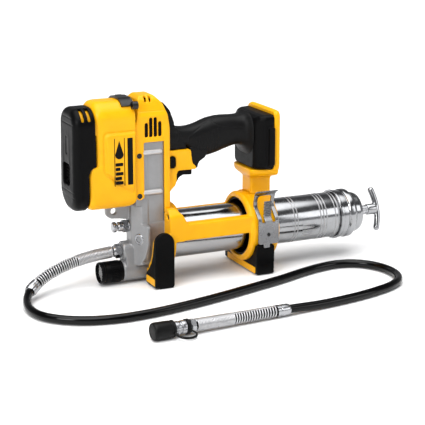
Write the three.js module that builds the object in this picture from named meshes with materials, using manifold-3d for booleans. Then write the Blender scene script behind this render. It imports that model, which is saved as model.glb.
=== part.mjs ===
// Battery grease gun: clamshell body, motor and crank pump, screw-in grease barrel and 42 inch hose.
// Millimetres. +X runs along the barrel to the rear, +Z is up, -Y is the side with the trigger lock.
// The origin is on the ground, under the middle of the gun without its hose.
import * as THREE from "three";
import { mergeVertices } from "three/addons/utils/BufferGeometryUtils.js";
import { ConvexGeometry } from "three/addons/geometries/ConvexGeometry.js";
import Module from "manifold-3d";

const wasm = await Module();
wasm.setup();

// ---- driving dimensions ----
const GAP = 0.3; // clearance between touching pieces
const FRONT = -209.5; // front of the motor cap
const BARREL_Z = 52.5; // height of the barrel axis
const BARREL_R = 28.5; // 14 oz cartridge barrel
const BARREL_WALL = 1.2;
const BARREL_X = [-95.5, 150];
const HOUSING_HALF = 26.5; // motor housing half width
const HOUSING_Z = [97, 222];
const HOUSING_BACK = -134.9;
const CAP_HALF = 27.5;
const CAP_Z = [98, 216];
const CAP_STEP_Z = 149.5; // the cap reaches further back above this height
const CAP_BACK = [-192.9, -184.2]; // below and above the step
const COVER_HALF = 23; // column cover half width
const CASTING_HALF = 20;
const CASTING_BACK = -97.6;
const PANEL_X = [-123.5, -98.1]; // window that shows the casting
const PANEL_TOP = 172;
const FOOT_HALF = 45.4;
const COLLAR_R = [36, 42.5]; // rear collar bore and outside
const COLLAR_X = [6, 45];
const BASE_HALF = 37; // battery base half width
const PLATE_X = [38.6, 46];
const SHELL = 2.6; // moulded wall
const MOTOR_Z = 192;
const PUMP_X = -106.5; // plunger axis
const TEETH = { pinion: 10, first: 35, second: 12, crank: 26 }; // module 1
const FIRST_Z = MOTOR_Z - (TEETH.pinion + TEETH.first) / 2;
const CRANK_Z = FIRST_Z - (TEETH.second + TEETH.crank) / 2;
const CRANK_THROW = 4.5;
const OUTLET_Z = 39.5;
const LAMP_Z = 15;
const LAMP_R = 13;
const BLEED_Z = 69;
const ROD_R = 5;
const HOSE_R = 5;
const HOSE_STEPS = 60;
const HALF_WIDTH = 60; // wider than anything, for cuts through the whole gun

// ---- materials ----
const paint = (color, roughness, metalness = 0) =>
  new THREE.MeshStandardMaterial({ color, roughness, metalness });
const YELLOW = paint(0xfdb813, 0.45);
const BLACK = paint(0x1a1a1a, 0.7);
const RUBBER = paint(0x141414, 0.85);
const CAST = paint(0x9a9a9c, 0.45, 0.9);
const CHROME = paint(0xd8dadc, 0.12, 1);
const STEEL = paint(0x8e9093, 0.35, 1);
const DARK_STEEL = paint(0x3b3d40, 0.45, 0.9);
const BRASS = paint(0xb88a3a, 0.35, 1);
const CLEAR = paint(0xdfe6ea, 0.1);
const BOARD = paint(0xe8e8e0, 0.6);
const COPPER = paint(0xb5622a, 0.4, 0.9);
const RED = paint(0xb01818, 0.5);

// ---- solids ----
function solid(geometry) {
  const plain = geometry.index ? geometry.toNonIndexed() : geometry;
  plain.deleteAttribute("normal");
  plain.deleteAttribute("uv");
  const merged = mergeVertices(plain, 1e-4);
  const mesh = new wasm.Mesh({
    numProp: 3,
    vertProperties: new Float32Array(merged.attributes.position.array),
    triVerts: new Uint32Array(merged.index.array),
  });
  return new wasm.Manifold(mesh);
}

const join = (...parts) => parts.reduce((a, b) => a.add(b));
const cut = (body, ...tools) => tools.reduce((a, b) => a.subtract(b), body);

function box([x0, x1], [y0, y1], [z0, z1]) {
  const shape = new THREE.BoxGeometry(x1 - x0, y1 - y0, z1 - z0);
  shape.translate((x0 + x1) / 2, (y0 + y1) / 2, (z0 + z1) / 2);
  return solid(shape);
}

// A round bar of any number of sides along X, Y or Z, centred on the other two coordinates.
function bar(axis, [from, to], radius, centre, sides = 24) {
  const shape = new THREE.CylinderGeometry(radius, radius, to - from, sides);
  shape.rotateY(Math.PI / sides);
  const middle = (from + to) / 2;
  if (axis === "X") {
    shape.rotateZ(-Math.PI / 2);
    shape.translate(middle, centre[0], centre[1]);
  } else if (axis === "Y") {
    shape.translate(centre[0], middle, 0);
    shape.translate(0, 0, centre[1]);
  } else {
    shape.rotateX(Math.PI / 2);
    shape.translate(centre[0], centre[1], middle);
  }
  return solid(shape);
}

const outline = (points) => new THREE.Shape(points.map(([u, v]) => new THREE.Vector2(u, v)));

// A flat outline in (x, z) made thick along Y, in (y, z) along X, or in (x, y) along Z.
const SIDE_VIEW = new THREE.Matrix4().set(1, 0, 0, 0, 0, 0, -1, 0, 0, 1, 0, 0, 0, 0, 0, 1);
const FRONT_VIEW = new THREE.Matrix4().set(0, 0, 1, 0, 1, 0, 0, 0, 0, 1, 0, 0, 0, 0, 0, 1);

function slab(axis, shape, [from, to], bevel = 0, bevelSegments = 1, curveSegments = 5) {
  const settings = {
    depth: to - from - 2 * bevel,
    bevelEnabled: bevel > 0,
    bevelThickness: bevel,
    bevelSize: bevel,
    bevelOffset: -bevel,
    bevelSegments,
    curveSegments,
  };
  const geometry = new THREE.ExtrudeGeometry(shape, settings);
  if (axis === "Y") {
    geometry.translate(0, 0, -to + bevel);
    geometry.applyMatrix4(SIDE_VIEW);
  } else {
    geometry.translate(0, 0, from + bevel);
    if (axis === "X") geometry.applyMatrix4(FRONT_VIEW);
  }
  return solid(geometry);
}

function roundedRectangle([u0, u1], [v0, v1], low, high = low) {
  const shape = new THREE.Shape();
  shape.moveTo(u0 + low, v0);
  shape.lineTo(u1 - low, v0);
  shape.absarc(u1 - low, v0 + low, low, -Math.PI / 2, 0, false);
  shape.lineTo(u1, v1 - high);
  shape.absarc(u1 - high, v1 - high, high, 0, Math.PI / 2, false);
  shape.lineTo(u0 + high, v1);
  shape.absarc(u0 + high, v1 - high, high, Math.PI / 2, Math.PI, false);
  shape.lineTo(u0, v0 + low);
  shape.absarc(u0 + low, v0 + low, low, Math.PI, 1.5 * Math.PI, false);
  return shape;
}

// A turned piece along X about (y, z): profile points are (x, radius).
function turned(profile, centre = [0, BARREL_Z], sides = 32) {
  const points = profile.map(([x, r]) => new THREE.Vector2(r, x));
  const geometry = new THREE.LatheGeometry(points, sides);
  geometry.rotateZ(-Math.PI / 2);
  geometry.translate(0, centre[0], centre[1]);
  return solid(geometry);
}

const ring = (axis, span, outer, inner, centre, sides = 24) =>
  cut(bar(axis, span, outer, centre, sides), bar(axis, [span[0] - 1, span[1] + 1], inner, centre, sides));

const hull = (points) => solid(new ConvexGeometry(points.map((p) => new THREE.Vector3(...p))));

const block = (x, half, z) => box(x, [-half, half], z);

const part = new THREE.Group();

function place(name, body, material, parent = part) {
  const data = body.getMesh ? body.getMesh() : null;
  let geometry = body;
  if (data) {
    geometry = new THREE.BufferGeometry();
    geometry.setAttribute("position", new THREE.BufferAttribute(data.vertProperties, 3));
    geometry.setIndex(new THREE.BufferAttribute(data.triVerts, 1));
  }
  const mesh = new THREE.Mesh(geometry, material);
  mesh.name = name;
  parent.add(mesh);
  return mesh;
}

// The two clamshell halves meet at y = 0; left is the -Y side.
function halves(name, body, material) {
  const far = 300;
  place(`${name}_left`, body.intersect(box([-far, far], [-far, -GAP / 2], [-far, far])), material);
  place(`${name}_right`, body.intersect(box([-far, far], [GAP / 2, far], [-far, far])), material);
}

const bothSides = (make) => join(make(-1), make(1));

// ---- motor housing and cap ----
function motorHousing() {
  const outside = roundedRectangle([-HOUSING_HALF, HOUSING_HALF], HOUSING_Z, 12, 20);
  const inner = HOUSING_HALF - SHELL;
  const inside = roundedRectangle([-inner, inner], [HOUSING_Z[0] + SHELL, HOUSING_Z[1] - SHELL], 10, 18);
  const reach = [CAP_BACK[0] + GAP, HOUSING_BACK];
  const labelPads = bothSides((s) =>
    box([-173, -137.5], [s * 27 - 0.5, s * 27 + 0.5], [134, 188]));
  const capRoom = block([-200, CAP_BACK[1] + GAP], HALF_WIDTH, [CAP_STEP_Z - GAP, 230]);
  const corner = slab("Y", outline([[-144, 96], [-134, 96], [-134, 100.5]]), [-HALF_WIDTH, HALF_WIDTH]);
  const shell = join(slab("X", outside, reach), labelPads);
  halves("motor_housing", cut(shell, slab("X", inside, [-200, -130]), capRoom, corner), YELLOW);
}

function motorCap() {
  const bevel = 9;
  const outside = roundedRectangle([-CAP_HALF, CAP_HALF], CAP_Z, 24, 20);
  const inner = CAP_HALF - SHELL;
  const inside = roundedRectangle([-inner, inner], [CAP_Z[0] + SHELL, CAP_Z[1] - SHELL], 21, 17);
  const shell = cut(
    slab("X", outside, [FRONT, FRONT + 60], bevel, 2, 3),
    slab("X", inside, [FRONT + SHELL, FRONT + 70], 7, 1, 3),
    block([CAP_BACK[1], -100], HALF_WIDTH, [80, 230]),
    block([CAP_BACK[0], -100], HALF_WIDTH, [80, CAP_STEP_Z]));
  const slots = [-199.5, -191.5].flatMap((x) =>
    [-1, 1].map((s) => box([x, x + 3.4], [s * 19 - 7, s * 19 + 7], [203, 230])));
  place("motor_end_cap", cut(shell, ...slots), BLACK);
}

// ---- column cover, with the switch block behind it ----
const LOCK_X = -86.3;
const LOCK_Z = 144.8;
const lockShape = (grow) =>
  roundedRectangle([LOCK_X - 3.7 - grow, LOCK_X + 3.7 + grow], [LOCK_Z - 7 - grow, LOCK_Z + 7 + grow], 3.5);
const COVER_SCREWS = [[-129.5, 157], [-129.5, 110.5]];

function columnCover() {
  const side = outline([
    [-134.6, 106], [-134.6, 188], [-131.5, 204], [-128, 213], [-127.5, 222], [-124, 226], [-108, 226],
    [-99, 217], [-94, 204], [-91, 188], [-91, 86], [-98.1, 86], [-98.1, 106],
  ]);
  const front = outline([
    [-COVER_HALF, 80], [COVER_HALF, 80], [COVER_HALF, 202], [20, 211], [16, 221], [11, 226.5],
    [-11, 226.5], [-16, 221], [-20, 211], [-COVER_HALF, 202],
  ]);
  const column = slab("Y", side, [-COVER_HALF, COVER_HALF]).intersect(slab("X", front, [-140, -80]));
  const back = [[-92, 158.2], [-92, 100], [-90, 98], [-87, 112], [-86, 135], [-55.8, 133.8], [-55.8, 138.7],
    [-62.3, 150.3], [-66.4, 158.2]];
  const switchBlock = slab("Y", outline(back), [-19, 19]);
  const windows = bothSides((s) => box(PANEL_X, [s * 30 - 10, s * 30 + 10], [40, PANEL_TOP]));
  const vents = [-120.2, -114.6, -109, -103.4].map((x, i) =>
    block([x - 1.5, x + 1.5], HALF_WIDTH, [178, i % 3 === 0 ? 196 : 201]));
  const topSlots = [-118.5, -113].flatMap((x) =>
    [-1, 1].map((s) => box([x - 1.4, x + 1.4], [s * 7 - 5, s * 7 + 5], [215, 230])));
  const screwHoles = COVER_SCREWS.flatMap(([x, z]) => [
    bar("Y", [-30, -21.6], 2.9, [x, z], 12), bar("Y", [-30, -19], 1.8, [x, z], 12)]);
  const rooms = [
    block([-140, -97.3], CASTING_HALF + GAP, [70, 199]),
    block([-125, -100], 13, [198, 222.5]),
    block([-80.5, -58], 8, [120, 156]),
    slab("Y", lockShape(GAP), [-HALF_WIDTH, HALF_WIDTH]),
  ];
  halves("column_cover", cut(join(column, switchBlock), windows, ...vents, ...topSlots, ...screwHoles,
    ...rooms), YELLOW);
  COVER_SCREWS.forEach(([x, z], i) => {
    const head = bar("Y", [-23.2, -21.9], 2.6, [x, z], 12);
    const shank = bar("Y", [-21.95, -17.6], 1.5, [x, z], 12);
    place(`cover_screw_${i + 1}`, join(head, shank), DARK_STEEL);
  });
}

// ---- barrel cradle: front collar and leg, side beams, rear collar ----
function cradle() {
  const leg = outline([[-117.5, 3], [-95, 3], [-95, 64], [-99, 66], [-108, 66], [-115, 62], [-117.5, 56]]);
  const flare = outline([[-95, 56], [-95, 90], [-88, 90], [-80, 80], [-73, 70], [-73, 56]]);
  const solids = bothSides((s) => join(
    slab("Y", leg, s < 0 ? [-39.6, -20.4] : [20.4, 39.6]),
    slab("Y", flare, s < 0 ? [-39.4, -18] : [18, 39.4]),
    box([-95, COLLAR_X[0] + 2], s < 0 ? [-39.4, -30] : [30, 39.4], [53, 73]),
  ));
  const frontCollar = bar("X", [-96.5, -80], 39.5, [0, BARREL_Z], 36);
  const rearCollar = bar("X", COLLAR_X, COLLAR_R[1], [0, BARREL_Z], 36);
  const saddle = block([12, 36], 38, [12.3, 40]);
  const rearBore = bar("X", [COLLAR_X[0] - 1, COLLAR_X[1] + 1], COLLAR_R[0], [0, BARREL_Z], 36);
  const frontBore = bar("X", [-105, -79], 34, [0, BARREL_Z], 36);
  const column = block([-120, -90.7], COVER_HALF + GAP, [66.3, 120]);
  const flat = block([-120, -79], CASTING_HALF + GAP, [0, 19]);
  const barrelRoom = bar("X", [-82, 20], 30, [0, BARREL_Z], 36);
  halves("cradle", cut(join(frontCollar, rearCollar, saddle, solids), rearBore, frontBore, barrelRoom,
    column, flat, footRoom()), YELLOW);
}

// ---- feet ----
const CLIP_Y = [-44.5, -42.9]; // hose clip sheet
const CLIP_Z = 38; // its lower edge
const padShape = outline([[-114.5, 0], [-97.4, 0], [-95.7, 3], [-95.7, 58], [-99, 64], [-103, 66],
  [-111, 66], [-115.5, 63], [-118, 57], [-118, 26]]);
const FRONT_BAR = { x: [-112.6, -97.4], z: [0, 9] };

function footRoom() {
  return block([-118, -95], HALF_WIDTH, [-1, FRONT_BAR.z[1] + GAP]);
}

function feet() {
  const pads = bothSides((s) => slab("Y", padShape, s < 0 ? [-FOOT_HALF, -39.9] : [39.9, FOOT_HALF]));
  const tie = block(FRONT_BAR.x, 41, [1.6, FRONT_BAR.z[1]]);
  place("front_foot", cut(join(pads, tie), block([-113.5, -90], 30, [-1, 4])), BLACK);
  const rearSide = outline([[13.5, 2], [15.5, 0], [34, 0], [35.5, 2], [36, 36], [31, 39], [17, 39],
    [12, 36]]);
  const rear = slab("Y", rearSide, [-FOOT_HALF, FOOT_HALF]);
  const room = bar("X", [0, 60], COLLAR_R[1] + GAP, [0, BARREL_Z], 36);
  const saddle = block([11.6, 36.4], 38.3, [12, 60]);
  const clipRoom = join(box([10, 40], [-50, CLIP_Y[1] + GAP], [CLIP_Z - GAP, 60]),
    box([21.2, 30.3], [-50, CLIP_Y[1] + GAP], [33, 50]));
  place("rear_foot", cut(rear, room, saddle, clipRoom), BLACK);
}

// ---- neck and battery plate ----
const NECK = { x: [19.3, 45.8], half: 13 };

function batteryNeck() {
  const neck = block(NECK.x, NECK.half, [80, 116]);
  const flare = hull([
    ...[-1, 1].flatMap((s) => [[19.3, s * 13, 112], [45.8, s * 13, 112], [46, s * 13, 112]]),
    ...[-1, 1].flatMap((s) => [[13, s * 22, 124.5], [46, s * 29, 122.5]]),
    ...[-1, 1].flatMap((s) => [[12, s * 24, 126.9], [46, s * 33, 126.9]]),
  ]);
  const plate = slab("X", roundedRectangle([-BASE_HALF, BASE_HALF], [122, 197], 12, 14), PLATE_X);
  const socket = block([30, 60], 22, [139, 184]);
  const hollow = block([24, 41], 8, [90, 140]);
  const collarRoom = bar("X", [0, 60], COLLAR_R[1] + GAP, [0, BARREL_Z], 36);
  halves("battery_neck", cut(join(neck, flare, plate), socket, hollow, collarRoom), YELLOW);
}

function batteryBase() {
  const hullPoints = (x, half, z) => [-1, 1].flatMap((s) => z.map((h) => [x, s * half, h]));
  const rear = PLATE_X[0] - GAP;
  const outside = hull([
    ...hullPoints(15.5, 27, [134, 184]), ...hullPoints(15.5, 20, [127.3, 190]),
    ...hullPoints(26, BASE_HALF, [134, 184]), ...hullPoints(26, 26, [127.3, 192]),
    ...hullPoints(rear, BASE_HALF, [134, 184]), ...hullPoints(rear, 27, [127.3, 192]),
  ]);
  const inside = hull([
    ...hullPoints(18.5, 24, [133, 184]), ...hullPoints(28, 33, [133, 184]), ...hullPoints(40, 33, [133, 184]),
  ]);
  const leadHole = block([10, 22], 8, [164, 179]);
  place("battery_base", cut(outside, inside, leadHole), BLACK);
  const terminals = block([24, 45.5], 19, [146, 158]);
  const blades = [-13, -5, 5, 13].map((y) => box([44, 47], [y - 0.6, y + 0.6], [147.5, 156.5]));
  place("terminal_block", join(terminals, ...blades), BLACK);
}

// ---- grip ----
function grip() {
  const shape = new THREE.Shape();
  shape.moveTo(-90.6, 158.6);
  shape.lineTo(-90.6, 188);
  shape.lineTo(-93.6, 204);
  shape.lineTo(-98.6, 216.6);
  shape.quadraticCurveTo(-83, 205, -80.5, 184);
  shape.bezierCurveTo(-66, 181, -48, 184.5, -34, 190.2);
  shape.quadraticCurveTo(-20, 193, 2, 191.5);
  shape.lineTo(15.2, 191.5);
  shape.lineTo(15.2, 157);
  shape.lineTo(1.3, 155.3);
  shape.bezierCurveTo(-14, 152, -24, 148, -41, 145.5);
  shape.quadraticCurveTo(-50, 142, -52.6, 134.2);
  shape.lineTo(-55.4, 134.2);
  shape.lineTo(-55.4, 139);
  shape.lineTo(-61.8, 150.6);
  shape.lineTo(-66, 158.6);
  const body = slab("Y", shape, [-17, 17], 0, 1, 4);
  const fork = block([-104, -79.6], HALF_WIDTH, [186, 225]);
  const strip = block([-104, -79.6], 12, [184, 225]);
  const bodyCut = cut(body, cut(fork, strip));
  const hollow = outline([[-86, 163], [-50, 163], [-40, 153], [-14, 159], [16, 163], [16, 181], [-30, 182],
    [-50, 176], [-86, 175]]);
  halves("grip", cut(bodyCut, slab("Y", hollow, [-13.5, 13.5])), BLACK);
}

// ---- trigger group ----
function triggerGroup() {
  const shape = outline([[-78.2, 139], [-78.6, 128], [-79.6, 116.4], [-78, 116.4], [-74.8, 121.6],
    [-70, 124.4], [-59.8, 122.8], [-58.6, 124.4], [-58.6, 134], [-60.6, 139]]);
  place("trigger", slab("Y", shape, [-7.2, 7.2]), BLACK);
  const switchCase = block([-79.5, -66.2], 7.4, [147, 155]);
  place("switch_body", join(switchCase, bar("Z", [145.6, 148], 1.6, [-69.5, 0], 10)), BLACK);
  place("trigger_spring", spring([-75, 0, 139.7], [-75, 0, 146.2], 2.2, 0.4, 3, 6), STEEL);
  place("lock_button", slab("Y", lockShape(0), [-20.8, 16.8], 1), BLACK);
}

// A coil spring between two points, as a bar of five sides wound about the line that joins them.
function spring(from, to, radius, wire, turns, stepsPerTurn) {
  const start = new THREE.Vector3(...from);
  const axis = new THREE.Vector3(...to).sub(start);
  const along = axis.clone().normalize();
  const side = new THREE.Vector3(along.z, along.x, along.y).cross(along).normalize();
  const up = along.clone().cross(side);
  class Coil extends THREE.Curve {
    getPoint(t, target = new THREE.Vector3()) {
      const angle = 2 * Math.PI * turns * t;
      return target.copy(start).addScaledVector(axis, t)
        .addScaledVector(side, radius * Math.cos(angle)).addScaledVector(up, radius * Math.sin(angle));
    }
  }
  const section = outline([0, 1, 2, 3, 4].map((i) => {
    const angle = (2 * Math.PI * i) / 5;
    return [wire * Math.cos(angle), wire * Math.sin(angle)];
  }));
  const settings = { steps: turns * stepsPerTurn, extrudePath: new Coil() };
  return solid(new THREE.ExtrudeGeometry(section, settings));
}

// ---- casting: gearcase column, pump head, barrel socket, lamp and outlet bosses ----
function pumpHead() {
  const plan = outline([[-135.4, -8], [-126.4, -CASTING_HALF], [CASTING_BACK, -CASTING_HALF],
    [CASTING_BACK, CASTING_HALF], [-126.4, CASTING_HALF], [-135.4, 8]]);
  const lower = slab("Z", plan, [24, 96.5]);
  const upper = block([-133.4, CASTING_BACK], CASTING_HALF, [96, 184]);
  const ribs = [160, 112.5].flatMap((z) => [-1, 1].map((s) =>
    box([-122.9, -101], [s * 20.3 - 1, s * 20.3 + 1], [z - 2.2, z + 2.2])));
  const socket = bar("X", [-104, -82.3], 33.6, [0, BARREL_Z], 36);
  const outlet = bar("X", [-146, -120], 11.5, [0, OUTLET_Z], 24);
  const lamp = bar("X", [-146, -113], LAMP_R, [0, LAMP_Z], 24);
  const web = block([-135.4, -113.2], 12, [10, 30]);
  const ear = slab("X", roundedRectangle([-27, -10], [25, 76], 8), [-131, -119]);
  const lug = slab("Y", outline([[-134, 78], [-148, 79.5], [-159, 81], [-163.5, 85], [-164.5, 90],
    [-163.5, 96.5], [-134, 96.5]]), [-3, 3]);
  const body = join(lower, upper, ...ribs, socket, outlet, lamp, web, ear, lug);
  const cavity = block([-140, -100.5], 16.4, [118, 180]);
  const barrelBore = bar("X", [-96, -80], BARREL_R + GAP, [0, BARREL_Z], 36);
  const bore = bar("Z", [34, 119], 4.9, [PUMP_X, 0], 16);
  const inlet = bar("X", [PUMP_X, -90], 5, [0, BARREL_Z], 16);
  const passage = bar("X", [-150, PUMP_X], 4.3, [0, OUTLET_Z], 16);
  const bleed = bar("X", [-140, PUMP_X], 3.3, [0, BLEED_Z], 12);
  const portHole = bar("X", [-140, -124], 7.2, [-18, 56], 18);
  const lugHole = bar("Y", [-10, 10], 3.8, [-154.8, 89], 16);
  const screwHoles = COVER_SCREWS.map(([x, z]) => bar("Y", [-30, -17.2], 1.8, [x, z], 12));
  const frontFlat = block([-120, -81], HALF_WIDTH, [0, 18.6]);
  const lampEnd = block([-113, -81], HALF_WIDTH, [0, 24]);
  place("pump_head", cut(body, cavity, barrelBore, bore, inlet, passage, bleed, portHole, lugHole,
    ...screwHoles, frontFlat.intersect(lampEnd)), CAST);
  const plate = block([-133.2, -130.8], 16.1, [118.3, 179.7]);
  const shaftHole = bar("X", [-140, -125], 2.9, [0, FIRST_Z], 12);
  const pocket = bar("X", [-132, -125], 3, [0, CRANK_Z], 12);
  place("gearcase_plate", cut(plate, shaftHole, pocket), CAST);
}

// ---- motor and gear train ----
const GEAR_MODULE = 1;
function gear(teeth, span, z, bore, phase = 0) {
  const pitch = (teeth * GEAR_MODULE) / 2;
  const points = [];
  for (let i = 0; i < teeth; i += 1) {
    const middle = (2 * Math.PI * (i + phase)) / teeth;
    const step = (2 * Math.PI) / teeth;
    const corners = [[-0.27, -1], [-0.12, 0.75], [0.12, 0.75], [0.27, -1]];
    for (const [share, height] of corners) {
      const angle = middle + share * step;
      const radius = pitch + height * GEAR_MODULE;
      points.push([radius * Math.cos(angle), z + radius * Math.sin(angle)]);
    }
  }
  const wheel = slab("X", outline(points), span);
  return bore > 0 ? cut(wheel, bar("X", [span[0] - 1, span[1] + 1], bore, [0, z], 16)) : wheel;
}

function drive() {
  const can = ring("X", [-188, -146], 21, 19, [0, MOTOR_Z], 24);
  const ends = [[-188, -185], [-149, -146]].map((x) => ring("X", x, 20, 4, [0, MOTOR_Z], 24));
  place("motor_can", join(can, ...ends), DARK_STEEL);
  const shaft = bar("X", [-199, -132.4], 2.4, [0, MOTOR_Z], 12);
  const core = bar("X", [-180, -156], 15, [0, MOTOR_Z], 20);
  const commutator = bar("X", [-156, -152], 7, [0, MOTOR_Z], 16);
  place("armature", join(shaft, core, commutator), COPPER);
  place("motor_bearing_front", ring("X", [-187.5, -185.3], 3.7, 2.7, [0, MOTOR_Z], 16), STEEL);
  place("motor_bearing_rear", ring("X", [-148.7, -146.3], 3.7, 2.7, [0, MOTOR_Z], 16), STEEL);
  const hub = ring("X", [-197, -190], 5, 2.7, [0, MOTOR_Z], 16);
  const blades = [0, 1, 2, 3, 4, 5].map((i) =>
    box([-196, -190.5], [-0.7, 0.7], [4, 19]).rotate([60 * i, 0, 0]).translate([0, 0, MOTOR_Z]));
  place("cooling_fan", join(hub, ...blades), BLACK);
  place("motor_pinion", gear(TEETH.pinion, [-142, -134.2], MOTOR_Z, 2.7, 0.5), STEEL);
  const first = gear(TEETH.first, [-141, -136], FIRST_Z, 0, 0.25);
  const layshaft = bar("X", [-143, -113.5], 2.4, [0, FIRST_Z], 12);
  const second = gear(TEETH.second, [-122, -115], FIRST_Z, 0);
  place("intermediate_gear", join(first, layshaft, second), STEEL);
  const crank = gear(TEETH.crank, [-121.5, -115.5], CRANK_Z, 0);
  const crankShaft = bar("X", [-131.6, -121], 2.6, [0, CRANK_Z], 12);
  const pin = bar("X", [-116, -103.5], 3, [CRANK_THROW, CRANK_Z], 12);
  place("crank_gear", join(crank, crankShaft, pin), STEEL);
}

// The yoke's slot is tall enough to clear the crank pin at every angle and every stroke.
function pump() {
  const window = { half: CRANK_THROW + 3 + 0.8, height: 2 * CRANK_THROW + 3 + 0.7 };
  const span = (more) => [CRANK_Z - window.height - more, CRANK_Z + window.height + more];
  const outer = block([-110.6, -103], window.half + 3, span(3));
  const slot = block([-112, -101], window.half, span(0));
  const stem = bar("Z", [126, CRANK_Z - window.height - 2], 3.4, [PUMP_X, 0], 12);
  place("drive_yoke", cut(join(outer, stem), slot), STEEL);
  place("plunger", bar("Z", [60, 125.7], 4.6, [PUMP_X, 0], 16), CHROME);
  const ball = new THREE.SphereGeometry(3.6, 12, 8);
  ball.translate(-119, 0, OUTLET_Z);
  place("check_ball", solid(ball), CHROME);
  place("check_spring", spring([-123.6, 0, OUTLET_Z], [-139.5, 0, OUTLET_Z], 2.9, 0.5, 5, 7), STEEL);
}

// ---- outlet, bleeder, port plug and lamp ----
function headFittings() {
  const hex = bar("X", [-156.4, -146.3], 8.6, [0, OUTLET_Z], 6);
  const shank = bar("X", [-147, -141], 3.9, [0, OUTLET_Z], 16);
  const through = bar("X", [-160, -140], 2.2, [0, OUTLET_Z], 12);
  place("outlet_fitting", cut(join(hex, shank), through), STEEL);
  const bleeder = join(bar("X", [-141.5, -135.8], 6.4, [0, BLEED_Z], 6),
    bar("X", [-149.8, -141], 4.8, [0, BLEED_Z], 16), bar("X", [-136.5, -128], 2.9, [0, BLEED_Z], 12));
  place("bleeder_valve", cut(bleeder, bar("X", [-152, -143], 2.5, [0, BLEED_Z], 12)), CHROME);
  const knob = bar("X", [-155.8, -152.4], 5.2, [0, BLEED_Z], 16);
  const pin = bar("X", [-153, -146], 2.1, [0, BLEED_Z], 12);
  place("bleeder_button", join(knob, pin), STEEL);
  const plug = bar("X", [-132.5, -125], 6.8, [-18, 56], 18);
  place("port_plug", cut(plug, bar("X", [-134, -128.5], 3.6, [-18, 56], 6)), STEEL);
  const lampCase = bar("X", [-174, -146.3], LAMP_R, [0, LAMP_Z], 24);
  const lampRoom = bar("X", [-176, -160], LAMP_R - 2, [0, LAMP_Z], 24);
  place("lamp_housing", cut(lampCase, lampRoom), BLACK);
  place("lamp_board", bar("X", [-165, -163.4], LAMP_R - 2.4, [0, LAMP_Z], 20), BOARD);
  place("lamp_lens", bar("X", [-172, -169.6], LAMP_R - 2.3, [0, LAMP_Z], 20), CLEAR);
}

// ---- strap bracket and hose clip ----
function hardware() {
  const BAND_X = [-148, -135.2];
  const EYE = { y: 25, z: 217.5, out: 5.8, hole: 3.5 };
  const under = roundedRectangle([-25.2, 25.2], [190, HOUSING_Z[1] + GAP], 4, 19);
  const over = roundedRectangle([-25.2, 25.2], [190, HOUSING_Z[1] + 2.6], 4, 15);
  const below = block([-150, -130], HALF_WIDTH, [180, 218]);
  const strip = cut(slab("X", over, BAND_X), slab("X", under, [-150, -130]), below);
  const rolls = bothSides((s) => bar("X", BAND_X, EYE.out, [s * EYE.y, EYE.z], 16));
  const holes = bothSides((s) => bar("X", [-150, -130], EYE.hole, [s * EYE.y, EYE.z], 16));
  const housing = roundedRectangle([-26.8, 26.8], [190, HOUSING_Z[1] + GAP], 4, 20.3);
  const clearance = slab("X", housing, [-150, -130]);
  place("strap_bracket", cut(join(strip, rolls), holes, clearance), DARK_STEEL);
  const leg = box([0, 4.6], [-1.4, 0], [0, 40]).rotate([-14, 0, 0]);
  const plate = box([14.5, 42], CLIP_Y, [CLIP_Z, 68]);
  const tab = box([21.5, 30], CLIP_Y, [33.4, CLIP_Z + 1]);
  const legs = [14.5, 37.4].map((x) => leg.translate([x, CLIP_Y[1] - 0.1, 66]));
  const cross = box([14.5, 42], [-1.4, 0], [0, 5]).rotate([-14, 0, 0]).translate([0, -33.6, 104.6]);
  const tongue = box([22.5, 33], [-45.3, -43.8], [66, 90]);
  const hole = bar("Y", [-50, -40], 2.2, [28.3, 50], 12);
  place("hose_clip", cut(join(plate, tab, ...legs, cross, tongue), hole), STEEL);
}

// ---- barrel ----
function barrel() {
  const bushing = ring("X", [26, 44.7], COLLAR_R[0] - 0.6, BARREL_R + 0.5, [0, BARREL_Z], 36);
  place("barrel_bushing", bushing, RUBBER);
  const inner = BARREL_R - BARREL_WALL;
  const tube = [[BARREL_X[0], inner], [BARREL_X[0], BARREL_R], [BARREL_X[1], BARREL_R], [BARREL_X[1], inner]];
  place("barrel_tube", turned([...tube, tube[0]], [0, BARREL_Z], 36), CHROME);
  const cap = [[137.6, 28.9], [137.6, 31], [140.4, 31], [141, 30], [149, 30], [150, 29], [151.4, 30.4],
    [159, 30.4], [161, 28], [163, 26], [168, 25.6], [172, 24], [174.6, 20.6], [175.6, 15], [175.6, 5.6],
    [150.4, 5.6], [150.4, 28.9]];
  place("barrel_end_cap", turned([...cap, cap[0]], [0, BARREL_Z], 24), CHROME);
  const disc = [[-72, 5.4], [-72, 24], [-69, 26.4], [-61, 26.4], [-61, 25], [-68, 24], [-68, 5.4]];
  place("follower_disc", turned([...disc, disc[0]], [0, BARREL_Z], 24), STEEL);
  const seal = [[-72.3, 5.6], [-75.5, 5.6], [-77, 26.9], [-75, 26.9], [-72.3, 23]];
  place("follower_seal", turned([...seal, seal[0]], [0, BARREL_Z], 24), RUBBER);
  place("follower_spring", spring([-66, 0, BARREL_Z], [148, 0, BARREL_Z], 20, 1.2, 9, 8), STEEL);
  place("follower_rod", bar("X", [-84, 197], ROD_R, [0, BARREL_Z], 16), CHROME);
}

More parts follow.
